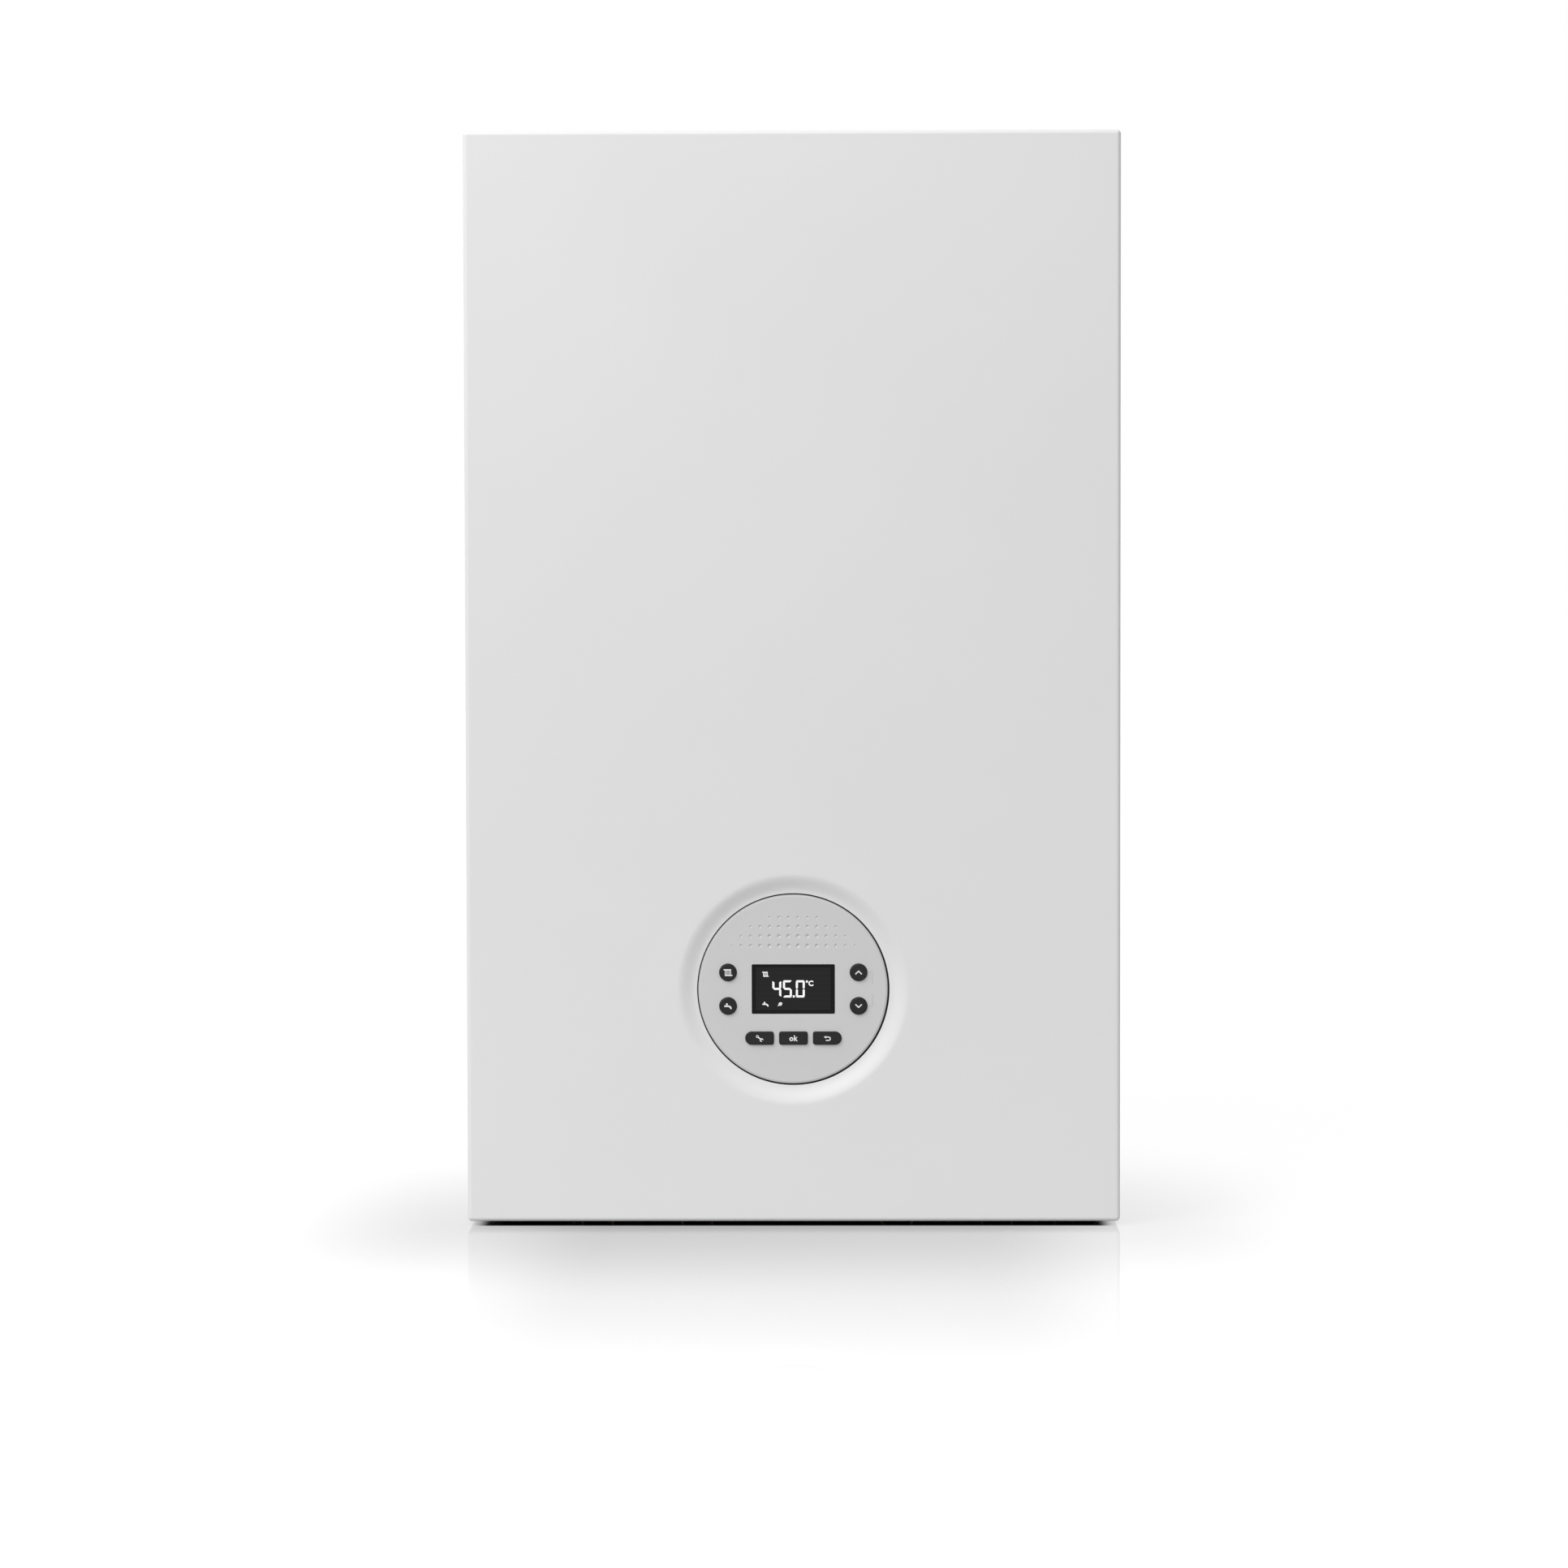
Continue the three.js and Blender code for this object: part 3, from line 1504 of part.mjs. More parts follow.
function keyButton(index) {
  const x = index * keyPitch;
  return join(
    upright(keyOutline(index, 0), flangeFront + 0.5, flangeFront + 0.5 - capFront),
    upright(
      roundedRectangle(x, keyZ, keyWidth + 1.6, keyHeight + 1.6, 1, 1),
      flangeFront + 0.8,
      0.8,
    ),
    barY([x, keyZ], flangeFront, stemEnd, 2, 10),
  );
}

// A pin fixed to the side panel, on which the control box turns.
const hingePin = (side) => {
  const at = (x) => [side * x, hingeY, hingeZ];
  return join(
    bar(at(boxWidth / 2 - lugDepth + 3), at(panelInner - 2), hingeRadius, 16),
    bar(at(panelInner - 3.5), at(panelInner - seat), 9, 16),
  );
};

piece("control_tray", controlTray(), darkPlastic);
piece("control_lid", controlLid(), darkPlastic);
piece("main_board", mainBoard(), boardGreen);
piece("display_board", displayBoard(), boardGreen);
piece("display_window", displayWindow(), smokedLens);
piece("fascia", fascia(), greyPlastic);
for (const [name, place] of Object.entries(roundButtons)) {
  piece(name, roundButton(place), blackRubber);
}
piece("service_button", keyButton(-1), blackRubber);
piece("ok_button", keyButton(0), blackRubber);
piece("back_button", keyButton(1), blackRubber);
piece("hinge_pin_left", hingePin(-1), stainless);
piece("hinge_pin_right", hingePin(1), stainless);

export default boiler;
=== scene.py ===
import bpy
import bmesh
import math
from mathutils import Matrix, Vector


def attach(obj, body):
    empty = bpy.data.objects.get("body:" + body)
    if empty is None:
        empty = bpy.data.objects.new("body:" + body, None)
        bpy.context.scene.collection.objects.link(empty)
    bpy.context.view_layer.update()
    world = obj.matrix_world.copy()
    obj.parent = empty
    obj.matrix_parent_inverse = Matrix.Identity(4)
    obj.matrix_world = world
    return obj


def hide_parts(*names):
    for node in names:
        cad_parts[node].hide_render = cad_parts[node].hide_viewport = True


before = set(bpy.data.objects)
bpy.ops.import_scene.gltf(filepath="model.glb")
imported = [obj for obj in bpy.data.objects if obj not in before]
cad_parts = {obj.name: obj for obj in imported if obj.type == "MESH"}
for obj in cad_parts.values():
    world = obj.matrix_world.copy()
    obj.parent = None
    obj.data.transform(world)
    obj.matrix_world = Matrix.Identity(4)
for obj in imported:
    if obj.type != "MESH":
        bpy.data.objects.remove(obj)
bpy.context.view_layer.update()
mm = 0.001  # every size below is in millimetres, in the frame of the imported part
turn = 2 * math.pi


# small tools

def linear(hexColour):  # an sRGB hex colour as linear red, green, blue and alpha
    parts = [int(hexColour[i:i + 2], 16) / 255 for i in (1, 3, 5)]
    return [c / 12.92 if c <= 0.04045 else ((c + 0.055) / 1.055) ** 2.4 for c in parts] + [1]


def addNode(tree, kind, settings={}, links={}):
    # settings are attributes or unlinked inputs, links lead from an output to an input
    node = tree.nodes.new(kind)
    for key, value in settings.items():
        if isinstance(key, str) and hasattr(node, key):
            setattr(node, key, value)
        else:
            node.inputs[key].default_value = value
    for key, output in links.items():
        tree.links.new(output, node.inputs[key])
    return node


def startMaterial(name, colour, metallic, roughness):
    # a fresh material with its shader, and the Object coordinates its patterns lie in
    material = bpy.data.materials.new(name)
    material.use_nodes = True
    tree = material.node_tree
    tree.nodes.clear()
    place = addNode(tree, "ShaderNodeTexCoord").outputs["Object"]
    shader = addNode(tree, "ShaderNodeBsdfPrincipled", {
        "Base Color": linear(colour), "Metallic": metallic, "Roughness": roughness})
    addNode(tree, "ShaderNodeOutputMaterial", links={"Surface": shader.outputs["BSDF"]})
    return material, tree, place, shader


def deselect():
    bpy.ops.object.select_all(action="DESELECT")


def only(piece):  # makes one object the selected and active one
    deselect()
    piece.select_set(True)
    bpy.context.view_layer.objects.active = piece


def settle():  # place and size of the new object go into its mesh
    bpy.ops.object.transform_apply(location=True, rotation=True, scale=True)
    return bpy.context.active_object


def edit(piece):
    only(piece)
    bpy.ops.object.mode_set(mode="EDIT")


def leave():
    bpy.ops.object.mode_set(mode="OBJECT")


def pick(kind, test):
    # in edit mode: selects the faces, edges or vertices whose middle (mm) and direction pass
    bpy.ops.mesh.select_mode(type=kind)
    bpy.ops.mesh.select_all(action="DESELECT")
    mesh = bmesh.from_edit_mesh(bpy.context.active_object.data)
    for part in {"FACE": mesh.faces, "EDGE": mesh.edges, "VERT": mesh.verts}[kind]:
        if kind == "FACE":
            at, way = part.calc_center_median(), part.normal
        elif kind == "EDGE":
            a, b = [v.co for v in part.verts]
            at, way = (a + b) / 2, (b - a).normalized()
        else:
            at, way = part.co, part.normal
        part.select_set(bool(test(at / mm, way)))
    mesh.select_flush_mode()
    bmesh.update_edit_mesh(bpy.context.active_object.data)


def box(low, high):  # a cube primitive between two corners
    deselect()
    middle = [(a + b) / 2 * mm for a, b in zip(low, high)]
    bpy.ops.mesh.primitive_cube_add(size=1, location=middle,
                                    scale=[(b - a) * mm for a, b in zip(low, high)])
    return settle()


spinTo = {"x": (0, turn / 4, 0), "y": (turn / 4, 0, 0), "z": (0, 0, 0)}


def rod(centre, axis, radius, length, sides=32):
    # a cylinder, whose top end looks to +x, -y or +z
    deselect()
    bpy.ops.mesh.primitive_cone_add(
        vertices=sides, radius1=radius * mm, radius2=radius * mm, depth=length * mm,
        location=[c * mm for c in centre], rotation=spinTo[axis])
    return settle()


def bevelEdges(width, steps, test):
    pick("EDGE", test)
    bpy.ops.mesh.bevel(offset=width * mm, segments=steps, affect="EDGES", clamp_overlap=True)


def domed(test, radius, steps=7):
    # in edit mode: a flat face rises by the radius, its rim rounded to a quarter circle
    pick("FACE", test)
    for k in range(steps):
        a, b = turn / 4 * k / steps, turn / 4 * (k + 1) / steps
        bpy.ops.mesh.inset(thickness=radius * (math.cos(a) - math.cos(b)) * mm,
                           depth=radius * (math.sin(b) - math.sin(a)) * mm)


def softBox(low, high, radius, steps=3, along=None):
    # a box with every edge rounded, or with only the edges along one axis rounded
    piece = box(low, high)
    edit(piece)
    bevelEdges(radius, steps, lambda at, way: along is None or abs(way["xyz".index(along)]) > 0.9)
    leave()
    return piece


def turned(profile, centre, axis, steps=64):
    # spins a profile of [radius, place along the axis] points; axis y or z
    deselect()
    out = Vector((mm, 0, 0))
    up = Vector((0, mm, 0)) if axis == "y" else Vector((0, 0, mm))
    points = [Vector(centre) * mm + out * r + up * a for r, a in profile]
    bpy.ops.mesh.primitive_plane_add(size=mm, location=points[0])
    piece = settle()
    edit(piece)
    bpy.ops.mesh.select_mode(type="VERT")
    bpy.ops.mesh.select_all(action="SELECT")
    bpy.ops.mesh.merge(type="CENTER")
    for here, there in zip(points, points[1:]):
        bpy.ops.mesh.extrude_region_move(TRANSFORM_OT_translate={"value": there - here})
    bpy.ops.mesh.select_all(action="SELECT")
    bpy.ops.mesh.spin(steps=steps, angle=turn, center=[c * mm for c in centre],
                      axis=up.normalized())
    bpy.ops.mesh.select_all(action="SELECT")
    bpy.ops.mesh.remove_doubles(threshold=0.002 * mm)
    bpy.ops.mesh.dissolve_degenerate(threshold=0.001 * mm)
    bpy.ops.mesh.select_all(action="SELECT")
    bpy.ops.mesh.normals_make_consistent(inside=False)
    leave()
    return piece


def applied(piece, kind, **settings):  # adds a modifier and applies it
    only(piece)
    modifier = piece.modifiers.new(kind.title(), kind)
    for key, value in settings.items():
        setattr(modifier, key, value)
    bpy.ops.object.modifier_apply(modifier=modifier.name)
    return piece


def soften(piece, width, steps=2, angle=35):  # rounds every edge sharper than the angle
    return applied(piece, "BEVEL", width=width * mm, segments=steps, limit_method="ANGLE",
                   angle_limit=math.radians(angle), use_clamp_overlap=True)


def stamped(piece, places, axis="Y", angles=None, scales=None):
    # a piece modelled round the origin goes to each place as a copy with its own mesh,
    # which may be scaled and turned about the axis on the way
    copies = []
    for k, place in enumerate(places):
        only(piece)
        bpy.ops.object.duplicate()
        bpy.context.active_object.matrix_world = (
            Matrix.Translation(Vector(place) * mm)
            @ Matrix.Rotation(angles[k] if angles else 0, 4, axis)
            @ Matrix.Scale(scales[k] if scales else 1, 4))
        copies.append(settle())
    bpy.data.objects.remove(piece)
    return copies


def onCircle(radius, angles):  # points round a circle, at angles in degrees
    return [(radius * math.cos(math.radians(a)), radius * math.sin(math.radians(a)))
            for a in angles]


def joined(pieces):
    if len(pieces) == 1:
        return pieces[0]
    deselect()
    for piece in pieces:
        piece.select_set(True)
    bpy.context.view_layer.objects.active = pieces[0]
    bpy.ops.object.join()
    return pieces[0]


def cutBy(piece, cutters, operation="DIFFERENCE"):
    for cutter in cutters:
        applied(piece, "BOOLEAN", object=cutter, operation=operation, solver="EXACT")
        bpy.data.objects.remove(cutter)


def shape(outlines, thick, face, middle=(0, 0)):
    # a flat shape in the front view from closed outlines of [x, z] points, holes among them;
    # its front lies at y = face and it reaches back by its thickness
    flat = bpy.data.curves.new("shape", "CURVE")
    flat.dimensions = "2D"
    flat.fill_mode = "BOTH"
    flat.extrude = thick / 2 * mm
    for outline in outlines:
        line = flat.splines.new("POLY")
        line.points.add(len(outline) - 1)
        for point, (x, z) in zip(line.points, outline):
            point.co = (x * mm, z * mm, 0, 1)
        line.use_cyclic_u = True
    piece = bpy.data.objects.new("shape", flat)
    bpy.context.scene.collection.objects.link(piece)
    return standUp(piece, thick, face, middle)


def standUp(piece, thick, face, middle):  # a flat curve or text becomes a mesh facing -y
    only(piece)
    bpy.ops.object.convert(target="MESH")
    piece = bpy.context.active_object
    piece.rotation_euler = (turn / 4, 0, 0)
    piece.location = (middle[0] * mm, (face + thick / 2) * mm, middle[1] * mm)
    return settle()


def tube(points, radius, bend=20, sides=24, steps=10):
    # a pipe with round bends through its corner points
    corners = [Vector(p) * mm for p in points]
    route = [corners[0]]
    for before, here, after in zip(corners, corners[1:], corners[2:]):
        back, on = (before - here).normalized(), (after - here).normalized()
        half = back.angle(on) / 2
        centre = here + (back + on).normalized() * (bend * mm / math.sin(half))
        first = (here + back * (bend * mm / math.tan(half)) - centre).normalized()
        last = (here + on * (bend * mm / math.tan(half)) - centre).normalized()
        route += [centre + first.slerp(last, k / steps) * bend * mm for k in range(steps + 1)]
    route.append(corners[-1])
    line = bpy.data.curves.new("pipe", "CURVE")
    line.dimensions = "3D"
    line.bevel_depth = radius * mm
    line.bevel_resolution = sides // 4 - 1
    line.use_fill_caps = True
    spline = line.splines.new("POLY")
    spline.points.add(len(route) - 1)
    for point, at in zip(spline.points, route):
        point.co = (*at, 1)
    piece = bpy.data.objects.new("pipe", line)
    bpy.context.scene.collection.objects.link(piece)
    only(piece)
    bpy.ops.object.convert(target="MESH")
    return bpy.context.active_object


def paint(piece, material):
    piece.data.materials.clear()
    piece.data.materials.append(material)
    return piece


def finished(name, piece, body, material=None, replaces=(), angle=40):
    # smooth shading that keeps flat faces flat, name, finish, and the body that carries it
    if material:
        paint(piece, material)
    only(piece)
    bpy.ops.object.shade_smooth_by_angle(angle=math.radians(angle))
    applied(piece, "WEIGHTED_NORMAL", keep_sharp=True, weight=100)
    piece.name = name
    piece.data.name = name
    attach(piece, body)
    if replaces:
        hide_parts(*replaces)


# camera: 3 m from the case, a little above and to the right of it
camera = {"aim": (-5.4, -300, -331.5), "distance": 3000, "lens": 112.77, "down": 2.49,
          "side": 0.775, "roll": -0.118}


def makeCamera(s):
    data = bpy.data.cameras.new("camera")
    data.lens = s["lens"]
    data.sensor_width = 36
    data.clip_end = 50
    cam = bpy.data.objects.new("camera", data)
    bpy.context.scene.collection.objects.link(cam)
    bpy.context.scene.camera = cam
    down, side = math.radians(s["down"]), math.radians(s["side"])
    back = Vector((math.sin(side) * math.cos(down), -math.cos(side) * math.cos(down),
                   math.sin(down)))
    cam.location = Vector(s["aim"]) * mm + back * s["distance"] * mm
    cam.rotation_euler = (-back).to_track_quat("-Z", "Y").to_euler()
    cam.rotation_euler.rotate_axis("Z", math.radians(s["roll"]))


makeCamera(camera)
print("camera set")

# stage: white floor and soft studio light from the upper left. The floor glows white to the camera,
# with a painted shade in that glow beside the case and before its front; under the case the glow is
# off and the floor's colour is painted near black, a painted contact shadow
studio = {
    "floorHeight": -602.6, "floorSize": 60000, "floorColour": "#858585", "floorGlow": 0.95,
    "case": (-200, 200, -300), "rear": -14, "sideShade": (0.34, 0.23), "sideReach": 150,
    "backReach": 450, "aheadReach": 320, "frontShade": 0.22, "frontReach": (150, 720),
    "frontWidth": (110, 205), "contact": (187, 197), "contactDepth": (0.5, 14),
    "contactShadowColour": "#050505", "glossNear": 0.3, "glossFade": 1150, "glossRoughness": 0.03,
    "ambient": 0.875, "ambientRight": 0.985, "ambientTop": 0.66, "sunStrength": 0.58,
    "sunFrom": (-0.35, -0.85, 0.47), "sunSpread": 40, "keyPower": 18,
    "keyPlace": (-1000, -1300, 1150), "keyAim": (0, -200, -300), "keySize": 1100,
}


def makeFloor(s):
    deselect()
    bpy.ops.mesh.primitive_plane_add(size=s["floorSize"] * mm,
                                     location=(0, 0, s["floorHeight"] * mm))
    floor = settle()
    floor.name = "floor"
    material, tree, place, shader = startMaterial("white studio floor", s["floorColour"], 0, 0.9)
    shader.inputs["Specular IOR Level"].default_value = 0
    left, right, front = s["case"]
    parts = addNode(tree, "ShaderNodeSeparateXYZ", {}, {0: place}).outputs
    across = addNode(tree, "ShaderNodeMath", {"operation": "ABSOLUTE"}, {0: parts["X"]}).outputs[0]
    # each falls smoothly from its first share to nought between two places along one direction
    # these masks place the painted shade and the painted contact shadow on the floor
    falls = {}
    for name, source, start, end, share in (
            ("side", across, right, right + s["sideReach"], 1),
            ("back", parts["Y"], front, front + s["backReach"], 1),
            ("ahead", parts["Y"], front, front - s["aheadReach"], 1),
            ("front", parts["Y"], front - s["frontReach"][0], front - s["frontReach"][1],
             s["frontShade"]),
            ("width", across, *s["frontWidth"], 1),
            ("contact", across, *s["contact"], 1),
            ("before", parts["Y"], front + s["contactDepth"][0], front, 1),
            ("behind", parts["Y"], s["rear"], s["rear"] + s["contactDepth"][1], 1)):
        falls[name] = addNode(tree, "ShaderNodeMapRange", {
            "interpolation_type": "SMOOTHSTEP", "From Min": start * mm, "From Max": end * mm,
            "To Min": share, "To Max": 0.0}, {"Value": source}).outputs[0]
    # the painted shade is deeper on the left
    falls["lean"] = addNode(tree, "ShaderNodeMapRange", {
        "From Min": left * mm, "From Max": right * mm, "To Min": s["sideShade"][0],
        "To Max": s["sideShade"][1]}, {"Value": parts["X"]}).outputs[0]
    for name, first, second in (("side", "side", "back"), ("side", "side", "ahead"),
                                ("side", "side", "lean"), ("front", "front", "width"),
                                ("contact", "contact", "before"),
                                ("contact", "contact", "behind")):
        falls[name] = addNode(tree, "ShaderNodeMath", {"operation": "MULTIPLY"},
                              {0: falls[first], 1: falls[second]}).outputs[0]
    # painted shade: the masks lower the floor's glow round the case, where a shadow would fall
    shade = addNode(tree, "ShaderNodeMath", {"operation": "ADD"},
                    {0: falls["side"], 1: falls["front"]})
    glow = addNode(tree, "ShaderNodeMath", {"operation": "SUBTRACT", 0: s["floorGlow"]},
                   {1: shade.outputs[0]})
    # painted contact shadow: no glow at all under the case
    unshaded = addNode(tree, "ShaderNodeMath", {"operation": "SUBTRACT", 0: 1.0},
                       {1: falls["contact"]})
    glow = addNode(tree, "ShaderNodeMath", {"operation": "MULTIPLY"},
                   {0: glow.outputs[0], 1: unshaded.outputs[0]})
    seen = addNode(tree, "ShaderNodeLightPath").outputs
    shown = addNode(tree, "ShaderNodeMath", {"operation": "MAXIMUM"},
                    {0: seen["Is Camera Ray"], 1: seen["Is Glossy Ray"]})
    shown = addNode(tree, "ShaderNodeMath", {"operation": "MAXIMUM"},
                    {0: shown.outputs[0], 1: seen["Is Transmission Ray"]})
    glow = addNode(tree, "ShaderNodeMath", {"operation": "MULTIPLY"},
                   {0: glow.outputs[0], 1: shown.outputs[0]})
    # painted contact shadow: the floor's colour turns near black under the case
    tint = addNode(tree, "ShaderNodeMix", {"data_type": "RGBA", 6: linear(s["floorColour"]),
                                           7: linear(s["contactShadowColour"])},
                   {0: falls["contact"]})
    tree.links.new(tint.outputs[2], shader.inputs["Base Color"])
    light = addNode(tree, "ShaderNodeEmission", {"Color": linear("#FFFFFF")},
                    {"Strength": glow.outputs[0]})
    lit = addNode(tree, "ShaderNodeAddShader", {},
                  {0: shader.outputs["BSDF"], 1: light.outputs[0]})
    # the polish fades away from the object, so its mirror image does too
    polish = addNode(tree, "ShaderNodeMapRange", {
        "interpolation_type": "SMOOTHSTEP", "From Min": front * mm,
        "From Max": (front - s["glossFade"]) * mm, "To Min": s["glossNear"], "To Max": 0.0},
        {"Value": parts["Y"]})
    mirror = addNode(tree, "ShaderNodeBsdfAnisotropic", {"Roughness": s["glossRoughness"]})
    both = addNode(tree, "ShaderNodeMixShader", {},
                   {0: polish.outputs[0], 1: lit.outputs[0], 2: mirror.outputs[0]})
    # nothing shows of the floor from below, where the valves and tails are looked at
    under = addNode(tree, "ShaderNodeNewGeometry").outputs["Backfacing"]
    clear = addNode(tree, "ShaderNodeBsdfTransparent")
    surface = addNode(tree, "ShaderNodeMixShader", {},
                      {0: under, 1: both.outputs[0], 2: clear.outputs[0]})
    output = [n for n in tree.nodes if n.type == "OUTPUT_MATERIAL"][0]
    tree.links.new(surface.outputs[0], output.inputs["Surface"])
    paint(floor, material)


def makeLights(s):
    sun = bpy.data.lights.new("wide soft light", "SUN")
    sun.energy = s["sunStrength"]
    sun.angle = math.radians(s["sunSpread"])
    key = bpy.data.lights.new("key", "AREA")
    key.energy = s["keyPower"]
    key.size = s["keySize"] * mm
    for data, at, toward in ((sun, (0, 0, 0), -Vector(s["sunFrom"])),
                             (key, s["keyPlace"], Vector(s["keyAim"]) - Vector(s["keyPlace"]))):
        lamp = bpy.data.objects.new(data.name, data)
        lamp.location = Vector(at) * mm
        lamp.rotation_euler = toward.to_track_quat("-Z", "Y").to_euler()
        bpy.context.scene.collection.objects.link(lamp)


def makeWorld(s):
    world = bpy.data.worlds.new("studio")
    bpy.context.scene.world = world
    world.use_nodes = True
    tree = world.node_tree
    tree.nodes.clear()
    # soft light all round, a little weaker from the right and from above
    parts = addNode(tree, "ShaderNodeSeparateXYZ", {},
                    {0: addNode(tree, "ShaderNodeTexCoord").outputs["Generated"]})
    side = addNode(tree, "ShaderNodeMapRange", {
        "From Min": -0.3, "From Max": 1.0, "To Min": s["ambient"],
        "To Max": s["ambient"] * s["ambientRight"]}, {"Value": parts.outputs["X"]})
    top = addNode(tree, "ShaderNodeMapRange", {
        "From Min": 0.0, "From Max": 1.0, "To Min": 1.0, "To Max": s["ambientTop"]},
        {"Value": parts.outputs["Z"]})
    strength = addNode(tree, "ShaderNodeMath", {"operation": "MULTIPLY"},
                       {0: side.outputs[0], 1: top.outputs[0]})
    soft = addNode(tree, "ShaderNodeBackground", {}, {"Strength": strength.outputs[0]})
    white = addNode(tree, "ShaderNodeBackground", {"Color": linear("#FFFFFF"), "Strength": 1.0})
    seen = addNode(tree, "ShaderNodeLightPath").outputs
    shown = addNode(tree, "ShaderNodeMath", {"operation": "MAXIMUM"},
                    {0: seen["Is Camera Ray"], 1: seen["Is Transmission Ray"]})
    shown = addNode(tree, "ShaderNodeMath", {"operation": "MAXIMUM"},
                    {0: shown.outputs[0], 1: seen["Is Glossy Ray"]})
    both = addNode(tree, "ShaderNodeMixShader", {},
                   {0: shown.outputs[0], 1: soft.outputs[0], 2: white.outputs[0]})
    addNode(tree, "ShaderNodeOutputWorld", links={"Surface": both.outputs[0]})


makeFloor(studio)
makeLights(studio)
makeWorld(studio)
bpy.context.scene.view_settings.view_transform = "Standard"
print("stage set")


# finishes of the front

def whiteEnamel():
    # polyester powder coat on sheet steel: satin white, with a faint orange peel about
    # 2 mm from crest to crest that breaks up the reflections
    material, tree, place, shader = startMaterial("white powder coat on steel", "#EDEDED", 0, 0.42)
    peel = addNode(tree, "ShaderNodeTexNoise", {"Scale": 1 / (2.0 * mm), "Detail": 1.5},
                   {"Vector": place})
    bump = addNode(tree, "ShaderNodeBump", {"Strength": 0.08, "Distance": 0.03 * mm},
                   {"Height": peel.outputs[0]})
    tree.links.new(bump.outputs[0], shader.inputs["Normal"])
    cloud = addNode(tree, "ShaderNodeTexNoise", {"Scale": 1 / (120 * mm), "Detail": 2},
                    {"Vector": place})
    gloss = addNode(tree, "ShaderNodeMapRange", {"To Min": 0.38, "To Max": 0.46},
                    {"Value": cloud.outputs[0]})
    tree.links.new(gloss.outputs[0], shader.inputs["Roughness"])
    tint = addNode(tree, "ShaderNodeMix", {"data_type": "RGBA", 6: linear("#ECECEC"),
                                           7: linear("#F0F0F0")}, {0: cloud.outputs[0]})
    tree.links.new(tint.outputs[2], shader.inputs["Base Color"])
    return material


def greyMoulding():
    # ABS moulding with a spark-eroded skin: matt light grey, grain about 0.3 mm
    material, tree, place, shader = startMaterial("spark-grained grey ABS", "#D8D8D8", 0, 0.48)
    grain = addNode(tree, "ShaderNodeTexNoise", {"Scale": 1 / (0.3 * mm), "Detail": 3},
                    {"Vector": place})
    bump = addNode(tree, "ShaderNodeBump", {"Strength": 0.25, "Distance": 0.02 * mm},
                   {"Height": grain.outputs[0]})
    tree.links.new(bump.outputs[0], shader.inputs["Normal"])
    tint = addNode(tree, "ShaderNodeMix", {"data_type": "RGBA", 6: linear("#D6D6D6"),
                                           7: linear("#DADADA")}, {0: grain.outputs[0]})
    tree.links.new(tint.outputs[2], shader.inputs["Base Color"])
    return material


def buttonRubber():
    # silicone keypad rubber, lacquered: near black, soft sheen, very fine grain
    material, tree, place, shader = startMaterial("lacquered silicone rubber", "#1B1B1C", 0, 0.42)
    shader.inputs["Specular IOR Level"].default_value = 0.25
    grain = addNode(tree, "ShaderNodeTexNoise", {"Scale": 1 / (0.15 * mm), "Detail": 2},
                    {"Vector": place})
    bump = addNode(tree, "ShaderNodeBump", {"Strength": 0.2, "Distance": 0.01 * mm},
                   {"Height": grain.outputs[0]})
    tree.links.new(bump.outputs[0], shader.inputs["Normal"])
    tint = addNode(tree, "ShaderNodeMix", {"data_type": "RGBA", 6: linear("#191919"),
                                           7: linear("#1D1D1E")}, {0: grain.outputs[0]})
    tree.links.new(tint.outputs[2], shader.inputs["Base Color"])
    return material


def padInk(name, middle, low, high):
    # pad-printed ink: flat and opaque, a little uneven at the 0.2 mm weave of the pad
    material, tree, place, shader = startMaterial(name, middle, 0, 0.55)
    grain = addNode(tree, "ShaderNodeTexNoise", {"Scale": 1 / (0.2 * mm), "Detail": 2},
                    {"Vector": place})
    tint = addNode(tree, "ShaderNodeMix", {"data_type": "RGBA", 6: linear(low),
                                           7: linear(high)}, {0: grain.outputs[0]})
    tree.links.new(tint.outputs[2], shader.inputs["Base Color"])
    return material


def pianoBlack():
    # polished black acrylic round the screen: deep black with faint hairline scratches
    material, tree, place, shader = startMaterial("polished black acrylic", "#070707", 0, 0.12)
    shader.inputs["Specular IOR Level"].default_value = 0.15
    rub = addNode(tree, "ShaderNodeTexNoise", {"Scale": 1 / (6 * mm), "Detail": 6},
                  {"Vector": place})
    gloss = addNode(tree, "ShaderNodeMapRange", {"To Min": 0.08, "To Max": 0.18},
                    {"Value": rub.outputs[0]})
    tree.links.new(gloss.outputs[0], shader.inputs["Roughness"])
    return material


def screenGlass():
    # liquid-crystal cell, unlit: dark neutral grey, with its pixel rows as a fine 0.5 mm ripple
    material, tree, place, shader = startMaterial("dark liquid-crystal glass", "#151515", 0, 0.3)
    shader.inputs["Specular IOR Level"].default_value = 0.2
    rows = addNode(tree, "ShaderNodeTexWave", {
        "bands_direction": "Z", "wave_profile": "SIN", "Scale": 1 / (0.5 * mm) / 20,
        "Distortion": 0}, {"Vector": place})
    tint = addNode(tree, "ShaderNodeMix", {"data_type": "RGBA", 6: linear("#131313"),
                                           7: linear("#171717")}, {0: rows.outputs[1]})
    tree.links.new(tint.outputs[2], shader.inputs["Base Color"])
    return material


